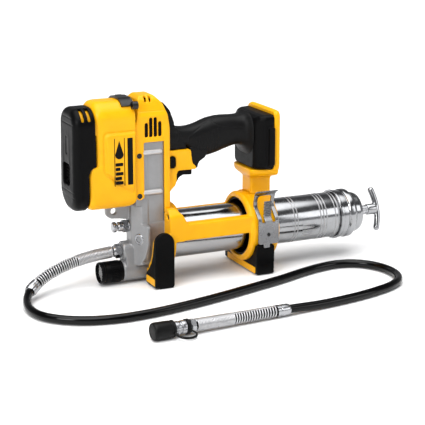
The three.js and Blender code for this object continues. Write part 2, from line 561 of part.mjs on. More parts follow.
// The pull handle is turned a little about the rod, as it happens to lie.
function pullHandle() {
  const HANDLE_TURN = -20;
  const half = 24;
  const bow = new THREE.QuadraticBezierCurve3(
    new THREE.Vector3(201.5, 0, half), new THREE.Vector3(209.9, 0, 0), new THREE.Vector3(201.5, 0, -half));
  const section = new THREE.Shape().absarc(0, 0, 4, 0, 2 * Math.PI);
  const grip = solid(new THREE.ExtrudeGeometry(section, { steps: 6, extrudePath: bow, curveSegments: 5 }));
  const tips = [-1, 1].map((s) => {
    const tip = new THREE.SphereGeometry(4, 10, 6);
    tip.translate(201.5, 0, s * half);
    return solid(tip);
  });
  const hub = cut(bar("X", [190, 204], 6.4, [0, 0], 16), bar("X", [180, 197.3], ROD_R + GAP, [0, 0], 16));
  const bar0 = join(grip, ...tips, hub).rotate([HANDLE_TURN, 0, 0]).translate([0, 0, BARREL_Z]);
  place("pull_handle", bar0, CHROME);
}

// ---- hose ----
const ROUTE = [
  [-157, 0, 39.5], [-178, -1, 38], [-197, -2, 35.2], [-218, -3.5, 30.4], [-240, -6.5, 22.5],
  [-253, -11.5, 16.6], [-266, -22, 11], [-275, -40, 7.2], [-279.5, -67, 5.2], [-274, -93, 5.2],
  [-259, -112, 5.2], [-236, -126.5, 5.2], [-207, -134, 5.2], [-176, -134.5, 5.2], [-144, -130.5, 5.2],
  [-109, -123, 5.2], [-67, -112, 5.2], [-23, -98.5, 5.2], [22.5, -84, 5.2], [66, -67.5, 5.2],
  [92, -60, 5.2], [117, -57.5, 5.2], [138, -64, 5.2], [153, -79, 5.2], [161, -101, 5.2],
  [160, -125, 5.2], [149, -145.5, 5.2], [130, -159.5, 5.2], [107, -168.5, 5.2], [83, -175.5, 5.2],
  [58, -180.5, 5.2], [24, -185.5, 5.4], [-22, -190, 7.1], [-62, -193.3, 7.7], [-94, -196, 8.2],
  [-118, -198, 8.6], [-140, -199.8, 9.1],
];
const hoseLine = new THREE.CatmullRomCurve3(ROUTE.map((p) => new THREE.Vector3(...p)));
hoseLine.arcLengthDivisions = 2000;

// A stretch of the hose's line, between two of its steps.
class Stretch extends THREE.Curve {
  constructor(first, last) {
    super();
    this.first = first;
    this.last = last;
  }

  getPoint(t, target = new THREE.Vector3()) {
    const step = this.first + (this.last - this.first) * t;
    return hoseLine.getPointAt(Math.min(1, step / HOSE_STEPS), target);
  }

  getPointAt(t, target) {
    return this.getPoint(t, target);
  }
}

function alongHose([first, last], outer, inner) {
  const section = new THREE.Shape().absarc(0, 0, outer, 0, 2 * Math.PI);
  if (inner > 0) section.holes.push(new THREE.Path().absarc(0, 0, inner, 0, 2 * Math.PI, true));
  const extrudePath = new Stretch(first, last);
  const settings = { steps: Math.max(1, Math.round(last - first)), extrudePath, curveSegments: 5 };
  return solid(new THREE.ExtrudeGeometry(section, settings));
}

function hose() {
  place("hose", alongHose([0, HOSE_STEPS], HOSE_R, 0), RUBBER);
  place("spring_guard_near", alongHose([0.02, 6], 6.9, 5.6), STEEL);
  place("guard_ferrule_near", alongHose([6.02, 7], 7.3, 5.6), STEEL);
  place("guard_ferrule_far", alongHose([53, 53.98], 7, 5.6), STEEL);
  place("spring_guard_far", alongHose([54, HOSE_STEPS - 0.02], 7.2, 5.6), STEEL);
}

// The coupler and its cap lie on one line with the end of the hose; their own frame has X along it.
function coupler() {
  const end = new THREE.Vector3(...ROUTE.at(-1));
  const before = new THREE.Vector3(...ROUTE.at(-2));
  const frame = new THREE.Group();
  frame.position.copy(end);
  frame.quaternion.setFromUnitVectors(new THREE.Vector3(1, 0, 0), end.clone().sub(before).normalize());
  part.add(frame);
  const axis = [0, 0];
  const nut = join(bar("X", [0.4, 6], 8.2, axis, 6), bar("X", [5.5, 8], 5, axis, 12));
  place("coupler_nut", nut, CHROME, frame);
  const body = [[8.4, 0], [8.4, 6.6], [17, 6.6], [18, 7.6], [30, 7.6], [31, 5.6], [36, 5.6], [36, 0]];
  place("coupler_body", turned(body, axis, 20), CHROME, frame);
  const cup = [[26, 8.2], [26, 9.6], [49, 9.9], [50.5, 9], [50.5, 0], [46, 0], [46, 8], [31.5, 8.2]];
  place("dust_cap", turned([...cup, cup[0]], axis, 20), RUBBER, frame);
}

motorHousing();
motorCap();
columnCover();
cradle();
feet();
batteryNeck();
batteryBase();
grip();
triggerGroup();
pumpHead();
drive();
pump();
headFittings();
hardware();
barrel();
pullHandle();
hose();
coupler();

export default part;
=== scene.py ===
# A battery grease gun on a pale floor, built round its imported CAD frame.
# Shapes are written in millimetres and turned into metres when a piece is made.
import bisect
import math

import bmesh
import bpy
from mathutils import Matrix, Vector


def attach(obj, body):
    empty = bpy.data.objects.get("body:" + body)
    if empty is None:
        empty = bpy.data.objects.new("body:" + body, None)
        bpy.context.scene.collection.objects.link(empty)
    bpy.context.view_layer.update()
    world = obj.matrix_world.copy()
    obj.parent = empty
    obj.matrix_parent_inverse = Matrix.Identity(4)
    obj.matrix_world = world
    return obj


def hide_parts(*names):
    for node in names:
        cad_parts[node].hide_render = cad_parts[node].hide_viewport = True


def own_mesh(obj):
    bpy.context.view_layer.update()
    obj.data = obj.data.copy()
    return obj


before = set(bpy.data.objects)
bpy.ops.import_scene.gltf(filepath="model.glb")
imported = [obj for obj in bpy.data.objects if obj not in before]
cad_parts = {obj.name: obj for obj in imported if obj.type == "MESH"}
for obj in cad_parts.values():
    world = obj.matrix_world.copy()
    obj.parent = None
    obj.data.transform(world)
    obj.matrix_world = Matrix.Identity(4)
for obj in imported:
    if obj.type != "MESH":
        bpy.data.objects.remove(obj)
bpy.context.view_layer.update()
scene = bpy.context.scene

# ---------------------------------------------------------------- camera


def add_object(name, data):
    thing = bpy.data.objects.new(name, data)
    scene.collection.objects.link(thing)
    return thing


# A camera or a light at its place, turned to look at its target.
def set_up(data, place, target):
    thing = add_object(data.name, data)
    thing.location = place
    thing.rotation_mode = "QUATERNION"
    thing.rotation_quaternion = (Vector(target) - thing.location).to_track_quat("-Z", "Y")
    return thing


def make_camera():
    data = bpy.data.cameras.new("camera")
    data.lens = 119.3
    data.sensor_width = 36
    data.clip_start = 0.05
    data.clip_end = 20
    scene.camera = set_up(data, (-0.7206, -1.4988, 0.5108), (-0.026, 0, 0.07274))


make_camera()

# ---------------------------------------------------------------- materials


def new_material(name):
    material = bpy.data.materials.new(name)
    material.use_nodes = True
    tree = material.node_tree
    shader = tree.nodes["Principled BSDF"]
    return material, tree, shader


def add_node(tree, kind, inputs=(), **settings):
    node = tree.nodes.new(kind)
    for key, value in settings.items():
        setattr(node, key, value)
    for key, value in dict(inputs).items():
        if isinstance(value, bpy.types.NodeSocket):
            tree.links.new(value, node.inputs[key])
        else:
            node.inputs[key].default_value = value
    return node


def place_coordinates(tree, scale=(1, 1, 1)):
    coordinates = add_node(tree, "ShaderNodeTexCoord")
    moved = add_node(tree, "ShaderNodeMapping", {"Vector": coordinates.outputs["Object"], "Scale": scale})
    return moved.outputs["Vector"]


def ramp(tree, value, stops):
    node = add_node(tree, "ShaderNodeValToRGB", {"Fac": value})
    elements = node.color_ramp.elements
    while len(elements) < len(stops):
        elements.new(0.5)
    for element, (position, colour) in zip(elements, stops):
        element.position = position
        element.color = (*colour, 1) if len(colour) == 3 else colour
    return node.outputs["Color"]


def noise(tree, vector, scale, detail=3, roughness=0.5):
    node = add_node(tree, "ShaderNodeTexNoise", {"Vector": vector, "Scale": scale, "Detail": detail,
        "Roughness": roughness})
    return node.outputs["Fac"]


def spread(tree, value, low, high):
    node = add_node(tree, "ShaderNodeMapRange", {"Value": value, "From Min": 0.25, "From Max": 0.75,
        "To Min": low, "To Max": high})
    return node.outputs["Result"]


def bump(tree, height, strength, distance, normal=None):
    inputs = {"Height": height, "Strength": strength, "Distance": distance}
    if normal is not None:
        inputs["Normal"] = normal
    return add_node(tree, "ShaderNodeBump", inputs).outputs["Normal"]


def shade(base, factor):
    return tuple(min(1, c * factor) for c in base)


# What the finishes share: a cloudy colour, uneven gloss and a fine grain. The three are tuples:
# cloud (scale, detail, roughness, lower stop, dark, light), gloss (scale, detail, roughness, least, most)
# and grain (scale, detail, strength, distance).
def surface(name, base, cloud, gloss, grain):
    material, tree, shader = new_material(name)
    vector = place_coordinates(tree)
    stop, dark, light = cloud[3:]
    colour = ramp(tree, noise(tree, vector, *cloud[:3]), [(stop, shade(base, dark)),
        (1 - stop, shade(base, light))])
    normal = bump(tree, noise(tree, vector, *grain[:2]), *grain[2:])
    tree.links.new(colour, shader.inputs["Base Color"])
    tree.links.new(spread(tree, noise(tree, vector, *gloss[:3]), *gloss[3:]), shader.inputs["Roughness"])
    tree.links.new(normal, shader.inputs["Normal"])
    return material, tree, shader, vector, colour, normal


# Moulded plastic: spark-eroded grain, slightly cloudy colour, edges rubbed a little paler.
def plastic(name, base, roughness, grain=0.12, worn=1.12, grain_scale=2400, shine=0.4):
    material, tree, shader, vector, colour, _ = surface(name, base, (38, 4, 0.5, 0.3, 0.93, 1.04),
        (150, 5, 0.6, roughness - 0.06, roughness + 0.07), (grain_scale, 2, grain, 0.00012))
    edge = add_node(tree, "ShaderNodeNewGeometry").outputs["Pointiness"]
    rub = add_node(tree, "ShaderNodeMapRange", {"Value": edge, "From Min": 0.52, "From Max": 0.62,
        "To Min": 0.0, "To Max": 0.55})
    patch = add_node(tree, "ShaderNodeMath", {0: rub.outputs["Result"], 1: noise(tree, vector, 240, 2)},
        operation="MULTIPLY")
    mixed = add_node(tree, "ShaderNodeMixRGB", {"Fac": patch.outputs["Value"], "Color1": colour,
        "Color2": (*shade(base, worn), 1)})
    tree.links.new(mixed.outputs["Color"], shader.inputs["Base Color"])
    shader.inputs["Specular IOR Level"].default_value = shine
    return material


# Cast or plated metal. line_scale above 0 draws the fine rings that a lathe leaves across X.
def metal(name, base, roughness, grain=0.1, grain_scale=1400, line_scale=0, dark=0.8, metallic=1.0):
    material, tree, shader, _, _, normal = surface(name, base, (60, 5, 0.6, 0.28, dark, 1.05),
        (140, 3, 0.5, max(0.03, roughness - 0.04), roughness + 0.05), (grain_scale, 3, grain, 0.0001))
    shader.inputs["Metallic"].default_value = metallic
    if line_scale:
        across = place_coordinates(tree, (line_scale, 6, 6))
        lines = bump(tree, noise(tree, across, 1, 3, 0.6), 0.02, 0.0001, normal)
        tree.links.new(lines, shader.inputs["Normal"])
    return material


def rubber(name, base, roughness, scale=900, strength=0.12, shine=0.3):
    material, _, shader, *_ = surface(name, base, (90, 5, 0.6, 0.3, 0.7, 1.35),
        (320, 4, 0.6, roughness - 0.08, roughness + 0.1), (scale, 3, strength, 0.00015))
    shader.inputs["Specular IOR Level"].default_value = shine
    return material


def clear_lens(name):
    material, tree, shader = new_material(name)
    vector = place_coordinates(tree)
    shader.inputs["Base Color"].default_value = (0.30, 0.31, 0.32, 1)
    shader.inputs["Transmission Weight"].default_value = 1.0
    shader.inputs["IOR"].default_value = 1.49
    tree.links.new(spread(tree, noise(tree, vector, 400, 3), 0.05, 0.14), shader.inputs["Roughness"])
    return material


YELLOW = plastic("moulded_yellow", (0.84, 0.398, 0.0025), 0.34, 0.10, 1.15, 2400, 0.2)
BLACK = plastic("moulded_black", (0.0014, 0.0014, 0.0016), 0.38, 0.16, 3.0, 2400, 0.08)
# Painted shade: a near-black finish for what sits behind openings, standing in for the dark inside of the
# gun.
RECESS_SHADE = plastic("painted_recess_shade", (0.002, 0.002, 0.002), 0.7, 0.1, 1.5, 2400, 0.1)
SOFT = rubber("soft_overmould", (0.0022, 0.0022, 0.0024), 0.46, 1500, 0.16, 0.15)
HOSE = rubber("hose_rubber", (0.0008, 0.0008, 0.0009), 0.12, 2600, 0.03, 0.2)
CAP = rubber("cap_rubber", (0.0018, 0.0018, 0.0018), 0.4, 1200, 0.14, 0.16)
CAST = metal("die_casting", (0.27, 0.272, 0.278), 0.36, 0.18, 1100, 0, 0.88, 0.36)
# A paler copy of the casting metal for the ribs: partly their machined finish, partly a painted highlight
# that makes them read bright.
FACED_AND_HIGHLIGHT = metal("machined_face_and_highlight", (0.56, 0.56, 0.57), 0.32, 0.03, 900, 0, 0.92, 0.5)
CHROME = metal("bright_plate", (0.34, 0.345, 0.355), 0.15, 0.01, 700, 900, 0.95)
SATIN = metal("satin_steel", (0.25, 0.252, 0.26), 0.27, 0.03, 900, 0, 0.92)
PLATED = metal("zinc_plate", (0.42, 0.425, 0.44), 0.25, 0.03, 900, 0, 0.9)
COIL = metal("spring_wire", (0.52, 0.52, 0.53), 0.30, 0.03, 900, 0, 0.9, 0.75)
GUNMETAL = metal("black_coat", (0.004, 0.004, 0.0045), 0.36, 0.1, 1300, 0, 0.8, 0.12)
BRASS = metal("yellow_brass", (0.62, 0.40, 0.14), 0.3, 0.05, 900, 0, 0.85)
COPPER = metal("copper_winding", (0.62, 0.24, 0.09), 0.4, 0.3, 1600, 0, 0.7)
LENS = clear_lens("lamp_lens_clear")
BOARD = plastic("lamp_board_white", (0.78, 0.78, 0.72), 0.5, 0.05, 1.05)
PRINT = plastic("printed_black", (0.003, 0.003, 0.003), 0.5, 0.03, 1.1, 2400, 0.1)
MARK = metal("etched_mark", (0.40, 0.40, 0.41), 0.42, 0.1, 1400, 0, 0.85, 0.9)

# ---------------------------------------------------------------- solids, in millimetres

THROUGH = (-60, 60)  # a reach across the whole gun, for cuts


def solid(points, faces):
    mesh = bpy.data.meshes.new("solid")
    mesh.from_pydata([tuple(p) for p in points], [], faces)
    work = bmesh.new()
    work.from_mesh(mesh)
    bmesh.ops.recalc_face_normals(work, faces=work.faces)
    work.to_mesh(mesh)
    work.free()
    return mesh


def to_space(axis, along, u, v):
    if axis == "X":
        return (along, u, v)
    if axis == "Y":
        return (u, along, v)
    return (u, v, along)


# An outline whose corners are rounded: each corner is (u, v) or (u, v, radius).
def rounded(corners, steps=7):
    points = []
    count = len(corners)
    for i, corner in enumerate(corners):
        here = Vector(corner[:2])
        radius = corner[2] if len(corner) > 2 else 0
        before = (Vector(corners[i - 1][:2]) - here)
        after = (Vector(corners[(i + 1) % count][:2]) - here)
        turn = before.angle(after)
        if radius <= 0 or turn > math.pi - 0.02:
            points.append((here.x, here.y))
            continue
        reach = min(radius / math.tan(turn / 2), before.length * 0.498, after.length * 0.498)
        radius = reach * math.tan(turn / 2)
        middle = here + (before.normalized()
            + after.normalized()).normalized() * (radius / math.sin(turn / 2))
        start = here + before.normalized() * reach - middle
        end = here + after.normalized() * reach - middle
        sweep = math.pi - turn
        sign = 1 if start.x * end.y - start.y * end.x > 0 else -1
        for k in range(steps + 1):
            angle = sign * sweep * k / steps
            spin = Matrix.Rotation(angle, 2)
            point = middle + spin @ start
            points.append((point.x, point.y))
    return points


def prism(points, axis, span):
    count = len(points)
    rings = [to_space(axis, a, u, v) for a in span for u, v in points]
    faces = [tuple(range(count)), tuple(range(count, 2 * count))]
    faces += [(i, (i + 1) % count, count + (i + 1) % count, count + i) for i in range(count)]
    return solid(rings, faces)


# A skin over a run of loops, capped at its ends, or led back to the first loop when it is closed.
def loft(loops, closed=False):
    count = len(loops[0])
    last = (len(loops) - 1) * count
    faces = [] if closed else [tuple(range(count)), tuple(range(last, last + count))]
    for k in range(len(loops) if closed else len(loops) - 1):
        a, b = k * count, (k + 1) % len(loops) * count
        faces += [(a + i, a + (i + 1) % count, b + (i + 1) % count, b + i) for i in range(count)]
    return solid([p for loop in loops for p in loop], faces)


def box(x, y, z):
    return prism([(x[0], z[0]), (x[1], z[0]), (x[1], z[1]), (x[0], z[1])], "Y", y)


def circle(centre, radius, count=48, start=0.0):
    return [(centre[0] + radius * math.cos(start + 2 * math.pi * i / count),
        centre[1] + radius * math.sin(start + 2 * math.pi * i / count)) for i in range(count)]


def bar(axis, span, radius, centre, count=48):
    return prism(circle(centre, radius, count, math.pi / count), axis, span)


# A turned body about the X axis through (y, z); the profile runs (x, radius) and closes on itself.
def turned(profile, centre=(0, 0), count=72):
    points = []
    rings = []
    for x, r in profile:
        if r <= 1e-6:
            rings.append([len(points)] * count)
            points.append((x, centre[0], centre[1]))
        else:
            rings.append(list(range(len(points), len(points) + count)))
            points += [(x, y, z) for y, z in circle(centre, r, count)]
    faces = []
    for k in range(len(rings)):
        a, b = rings[k], rings[(k + 1) % len(rings)]
        for i in range(count):
            j = (i + 1) % count
            quad = list(dict.fromkeys((a[i], a[j], b[j], b[i])))
            if len(quad) > 2:
                faces.append(tuple(quad))
    return solid(points, faces)


# An extruded outline with rounded corners, a rounded rectangle, and a turned profile with rounded corners.
def extruded(corners, axis, reach, steps=7):
    return prism(rounded(corners, steps), axis, reach)


def slab(u, v, radius, axis, reach, steps=7):
    return extruded([(u[0], v[0], radius), (u[1], v[0], radius), (u[1], v[1], radius), (u[0], v[1], radius)],
        axis, reach, steps)


def lathe(profile, centre, count, steps=3):
    return turned(rounded(profile, steps), centre, count)


# A round wire along points, with flat ends.
def wire(points, radius, sides=8, squash=1.0):
    path = [Vector(p) for p in points]
    count = len(path)
    loops = []
    up = None
    for i, here in enumerate(path):
        along = (path[min(i + 1, count - 1)] - path[max(i - 1, 0)]).normalized()
        if up is None:
            up = along.orthogonal().normalized()
        up = (up - along * up.dot(along)).normalized()
        side = along.cross(up)
        loops.append([here + up * radius * squash * math.cos(2 * math.pi * k / sides) + side * radius
            * math.sin(2 * math.pi * k / sides) for k in range(sides)])
    return loft(loops)


def moved(mesh, matrix):
    copy = mesh.copy()
    copy.transform(matrix)
    return copy


def evaluated(thing):
    graph = bpy.context.evaluated_depsgraph_get()
    return bpy.data.meshes.new_from_object(thing.evaluated_get(graph))


def combine(operation, first, others):
    host = add_object("host", first)
    tools = []
    for mesh in others:
        tool = add_object("tool", mesh)
        tools.append(tool)
        modifier = host.modifiers.new("combine", "BOOLEAN")
        modifier.operation = operation
        modifier.solver = "MANIFOLD"
        modifier.object = tool
    mesh = evaluated(host)
    for thing in [host, *tools]:
        bpy.data.objects.remove(thing)
    return mesh


def join(first, *others):
    return combine("UNION", first, others) if others else first


def cut(first, *others):
    return combine("DIFFERENCE", first, others)


def common(first, *others):
    return combine("INTERSECT", first, others)


# Several closed shells in one mesh, without joining them into one solid.
def gather(*meshes):
    work = bmesh.new()
    for mesh in meshes:
        work.from_mesh(mesh)
    together = bpy.data.meshes.new("gathered")
    work.to_mesh(together)
    work.free()
    return together


def both(make):
    return [make(-1), make(1)]


def span(s, low, high):
    return (low, high) if s > 0 else (-high, -low)


# ---------------------------------------------------------------- pieces


def finish_piece(name, mesh, material, body, replaces, angle):
    mesh.transform(Matrix.Scale(0.001, 4))
    mesh.materials.clear()
    mesh.materials.append(material)
    thing = add_object(name, mesh)
    if not mesh.has_custom_normals:
        mesh.shade_smooth()
    if angle:
        mesh.set_sharp_from_angle(angle=math.radians(angle))
    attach(thing, body)
    if replaces:
        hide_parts(*replaces)
    return thing


# A piece whose edges are all rounded over, as moulding and casting leave them.
def moulded(name, mesh, material, replaces=(), body="gun", voxel=0.8, passes=3, keep=0.3):
    host = add_object("host", mesh)
    remesh = host.modifiers.new("remesh", "REMESH")
    remesh.mode = "VOXEL"
    remesh.voxel_size = voxel * 1
    soften = host.modifiers.new("soften", "SMOOTH")
    soften.factor = 0.5
    soften.iterations = passes
    thin = host.modifiers.new("thin", "DECIMATE")
    thin.ratio = keep
    made = evaluated(host)
    bpy.data.objects.remove(host)
    return finish_piece(name, made, material, body, replaces, 0)


# A piece with crisp turned or cut edges and a small bevel on the sharp ones.
def machined(name, mesh, material, replaces=(), body="gun", bevel=0.25, angle=32):
    if bevel:
        work = bmesh.new()
        work.from_mesh(mesh)
        bmesh.ops.remove_doubles(work, verts=work.verts, dist=0.002)
        bmesh.ops.dissolve_limit(work, angle_limit=0.006, verts=work.verts, edges=work.edges)
        work.to_mesh(mesh)
        work.free()
        mesh.shade_smooth()
        host = add_object("host", mesh)
        modifier = host.modifiers.new("bevel", "BEVEL")
        modifier.width = bevel
        modifier.segments = 2
        modifier.limit_method = "ANGLE"
        modifier.angle_limit = math.radians(angle)
        host.modifiers.new("flat", "WEIGHTED_NORMAL").keep_sharp = True
        mesh = evaluated(host)
        bpy.data.objects.remove(host)
    return finish_piece(name, mesh, material, body, replaces, 0 if bevel else angle + 8)


# A CAD node that keeps its shape and gets its finish here.
def dress(node, material):
    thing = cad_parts[node]
    thing.data.materials.clear()
    thing.data.materials.append(material)
    weld = thing.modifiers.new("weld", "WELD")
    weld.merge_threshold = 0.000005
    edges = thing.modifiers.new("bevel", "BEVEL")
    edges.width = 0.0003
    edges.segments = 2
    edges.limit_method = "ANGLE"
    edges.angle_limit = math.radians(35)


# ---------------------------------------------------------------- hose

# The hose's route, in metres: out of the outlet, down, out to the front, back along the gun and round.
ROUTE = [
    (-0.157, 0, 0.0395), (-0.178, -0.001, 0.038), (-0.197, -0.002, 0.0352), (-0.218, -0.0035, 0.0304),
    (-0.240, -0.0065, 0.0225), (-0.253, -0.0115, 0.0166), (-0.266, -0.022, 0.011), (-0.275, -0.040, 0.0072),
    (-0.2795, -0.067, 0.0052), (-0.274, -0.093, 0.0052), (-0.259, -0.112, 0.0052), (-0.236, -0.1265, 0.0052),
    (-0.207, -0.134, 0.0052), (-0.176, -0.1345, 0.0052), (-0.144, -0.1305, 0.0052), (-0.109, -0.123, 0.0052),
    (-0.067, -0.112, 0.0052), (-0.023, -0.0985, 0.0052), (0.0225, -0.084, 0.0052), (0.066, -0.0675, 0.0052),
    (0.092, -0.060, 0.0052), (0.117, -0.0575, 0.0052), (0.138, -0.064, 0.0052), (0.153, -0.079, 0.0052),
    (0.161, -0.101, 0.0052), (0.160, -0.125, 0.0052), (0.149, -0.1455, 0.0052), (0.130, -0.1595, 0.0052),
    (0.107, -0.1685, 0.0052), (0.083, -0.1755, 0.0052), (0.058, -0.1805, 0.0052), (0.024, -0.1855, 0.0054),
    (-0.022, -0.190, 0.0071), (-0.062, -0.1933, 0.0077), (-0.094, -0.196, 0.0082), (-0.118, -0.198, 0.0086),
    (-0.140, -0.1998, 0.0091),
]
HOSE_R = 0.005


# The smooth line through the route (a centripetal Catmull-Rom curve), as closely spaced points.
def smooth_line(route, per_span=12):
    points = [Vector(p) for p in route]
    points = [2 * points[0] - points[1], *points, 2 * points[-1] - points[-2]]
    line = []
    for i in range(1, len(points) - 2):
        a, b, c, d = points[i - 1:i + 3]
        t0 = 0.0
        t1 = t0 + math.sqrt((b - a).length)
        t2 = t1 + math.sqrt((c - b).length)
        t3 = t2 + math.sqrt((d - c).length)
        for k in range(per_span):
            t = t1 + (t2 - t1) * k / per_span
            ab = a.lerp(b, (t - t0) / (t1 - t0))
            bc = b.lerp(c, (t - t1) / (t2 - t1))
            cd = c.lerp(d, (t - t2) / (t3 - t2))
            abc = ab.lerp(bc, (t - t0) / (t2 - t0))
            bcd = bc.lerp(cd, (t - t1) / (t3 - t1))
            line.append(abc.lerp(bcd, (t - t1) / (t2 - t1)))
    line.append(points[-2].copy())
    return line


LINE = smooth_line(ROUTE)
LINE_AT = [0.0]
for before, after in zip(LINE, LINE[1:]):
    LINE_AT.append(LINE_AT[-1] + (after - before).length)
HOSE_LENGTH = LINE_AT[-1]


def on_line(distance):
    distance = min(max(distance, 0.0), HOSE_LENGTH)
    low = min(bisect.bisect_right(LINE_AT, distance), len(LINE) - 1) - 1
    share = (distance - LINE_AT[low]) / (LINE_AT[low + 1] - LINE_AT[low])
    return LINE[low].lerp(LINE[low + 1], share)


def line_frame(distance):
    here = on_line(distance)
    along = (on_line(distance + 0.001) - on_line(distance - 0.001)).normalized()
    side = along.cross(Vector((0, 0, 1))).normalized()
    return here, along, side, side.cross(along)


# A turned shape that follows the hose: the profile is (distance in mm, radius in mm).
def on_hose(profile):
    count = 32
    loops = []
    for distance, radius in profile:
        here, _, side, up = line_frame(distance / 1000)
        loops.append([here * 1000 + side * radius * math.cos(2 * math.pi * k / count) + up * radius
            * math.sin(2 * math.pi * k / count) for k in range(count)])
    return loft(loops, closed=True)


# Wire wound round the hose; the pitch opens from one end to the other.
def wound(start, end, radius, thickness, pitch_start, pitch_end):
    steps = 14
    points = []
    distance = start
    angle = 0.0
    while distance < end:
        share = (distance - start) / (end - start)
        here, _, side, up = line_frame(distance / 1000)
        points.append(here * 1000 + side * radius * math.cos(angle) + up * radius * math.sin(angle))
        pitch = pitch_start + (pitch_end - pitch_start) * share
        angle += 2 * math.pi / steps
        distance += pitch / steps
    return wire(points, thickness, 6)


def make_hose():
    data = bpy.data.curves.new("hose_line", "CURVE")
    data.dimensions = "3D"
    data.bevel_depth = HOSE_R
    data.bevel_resolution = 5
    data.use_fill_caps = True
    line = data.splines.new("POLY")
    count = 220
    line.points.add(count)
    for i in range(count + 1):
        line.points[i].co = (*on_line(HOSE_LENGTH * i / count), 1)
    line.use_smooth = True
    data.materials.append(HOSE)
    tube = add_object("hose_tube", data)
    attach(tube, "gun")
    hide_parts("hose")
    total = HOSE_LENGTH * 1000
    step = total / 60
    near = gather(wound(1, step * 2.7, 6.3, 0.86, 1.75, 1.8), wound(step * 2.7, step * 6, 6.2, 0.82, 2.6,
        3.6))
    near_guard = finish_piece("near_guard_coil", near, COIL, "gun", ["spring_guard_near"], 0)
    far = gather(wound(step * 54 + 1, step * 57.3, 6.3, 0.85, 3.5, 3.1), wound(step * 57.3, total - 1, 6.5,
        0.86, 1.8, 1.75))
    far_guard = finish_piece("far_guard_coil", far, COIL, "gun", ["spring_guard_far"], 0)
    a, b = step * 6.02 + 0.4, step * 7
    near_ring = on_hose([(a, 5.2), (a, 6.6), (a + 0.6, 7.1), (a + 4, 7.2), (a + 4.4, 6.7), (a + 5.6, 6.7),
        (a + 6, 7.2), (b - 4, 7.2), (b - 2.5, 6.7), (b - 1, 6.5), (b, 6.1), (b, 5.2)])
    near_ferrule = finish_piece("near_ferrule", near_ring, PLATED, "gun", ["guard_ferrule_near"], 35)
    a, b = step * 53, step * 53.98
    far_ring = on_hose([(a, 5.2), (a, 6.0), (a + 1, 6.5), (a + 3, 6.8), (a + 11, 6.8), (a + 11.4, 6.4),
        (a + 12.6, 6.4), (a + 13, 6.8), (b, 6.9), (b, 5.2)])
    far_ferrule = finish_piece("far_ferrule", far_ring, PLATED, "gun", ["guard_ferrule_far"], 35)
    return tube, [near_guard, far_guard, near_ferrule, far_ferrule]


# The coupler on the hose's end, its rubber cap and the strap that holds the cap.
def make_coupler():
    end = LINE[-1] * 1000
    along = (Vector(ROUTE[-1]) - Vector(ROUTE[-2])).normalized()
    side = Vector((0, 0, 1)).cross(along).normalized()
    turn = Matrix((along, side, along.cross(side))).transposed().to_4x4()
    spot = Matrix.Translation(end) @ turn
    hexagon = prism(circle((0, 0), 8.2, 6, 0.2), "X", (0.4, 6))
    chamfer = turned([(0.4, 7.2), (1.2, 8.2), (5.2, 8.2), (6, 7.2), (6, 0), (0.4, 0)], (0, 0), 48)
    nut = join(common(hexagon, chamfer), turned([(5.6, 5.2), (8, 5.2), (8, 0), (5.6, 0)], (0, 0), 40))
    body = lathe([(8.3, 4.4), (8.3, 6.2, 0.5), (11.4, 6.5, 0.3), (11.8, 7.6, 0.4), (17, 7.6, 0.4),
        (17.4, 6.6, 0.3), (19.4, 6.6, 0.3), (19.8, 7.6, 0.4), (30, 7.6, 0.5), (31, 5.5, 0.4), (36, 5.5, 0.6),
        (36, 1.6), (24, 1.6), (24, 0), (8.3, 0)], (0, 0), 56)
    grooves = [turned([(x, 7.1), (x, 9), (x + 0.7, 9), (x + 0.7, 7.1)], (0, 0), 56) for x in (22.4, 24.4)]
    cap = lathe([(25.8, 8.3), (25.8, 9.6, 0.5), (27.6, 9.6, 0.4), (28, 9.1, 0.2), (30, 9.1, 0.2),
        (30.5, 9.6, 0.3), (47.5, 9.8, 1.0), (50.3, 9.2, 1.4), (50.3, 0), (46.2, 0), (46.2, 8.1), (31.5, 8.1)],
        (0, 0), 56)
    rim = turned([(50.0, 6.4), (50.6, 6.4), (50.6, 7.2), (50.0, 7.2)], (0, 0), 56)
    loop = [(28, 9.6, -1.6), (25.4, 13.2, -4.4), (20, 16.6, -6.2), (13, 17.6, -6.8), (6.4, 15.8, -6.4),
        (3.6, 12, -5), (5.4, 8.8, -3.2), (9.4, 7.4, -1.8)]
    tongue = wire([p * 1000 for p in smooth_line([Vector(p) / 1000 for p in loop], 8)], 1.5, 8, 0.7)
    collar = turned([(7.6, 6.3), (7.6, 8.4), (11.2, 8.4), (11.2, 6.3)], (0, 0), 48)
    return [machined("coupler_hex", moved(nut, spot), PLATED, ["coupler_nut"], bevel=0.2),
        machined("coupler_sleeve", moved(cut(body, *grooves), spot), PLATED, ["coupler_body"],
        bevel=0), machined("coupler_cap", moved(gather(cap, rim), spot), CAP, ["dust_cap"],
        bevel=0), machined("cap_strap", moved(gather(tongue, collar), spot), CAP, (), bevel=0.2),]


hose_tube, hose_parts = make_hose()
coupler_parts = make_coupler()

# ---------------------------------------------------------------- motor housing and cap


# A rounded upright rectangle in (y, z), drawn in by inset all round.
def upright(half, z, low, high, inset=0.0, steps=9):
    a, b = half - inset, (z[0] + inset, z[1] - inset)
    low, high = max(low - inset, 0.3), max(high - inset, 0.3)
    return rounded([(-a, b[0], low), (a, b[0], low), (a, b[1], high), (-a, b[1], high)], steps)


SEAM = box((-400, 400), (-0.22, 0.22), (-50, 400))
HOUSING = (26.5, (97, 222), 12, 20)  # half width, low and high edge, corner radii
HOUSING_END = -134.9
HOUSING_STEP = box((-200, -130), (-40, 40), (149.2, 230))  # the part above the step in the cap's edge


# The housing's outer form, with its front edge rounded off by depth along X and by inset all round.
def housing_form(front, depth, inset):
    loops = []
    for k in range(7):
        turn = math.radians(15 * k)
        loops.append([(front + depth * (1 - math.cos(turn)), y, z) for y, z in upright(*HOUSING,
            inset * (1 - math.sin(turn)))])
    loops.append([(HOUSING_END, y, z) for y, z in upright(*HOUSING)])
    return loft(loops)


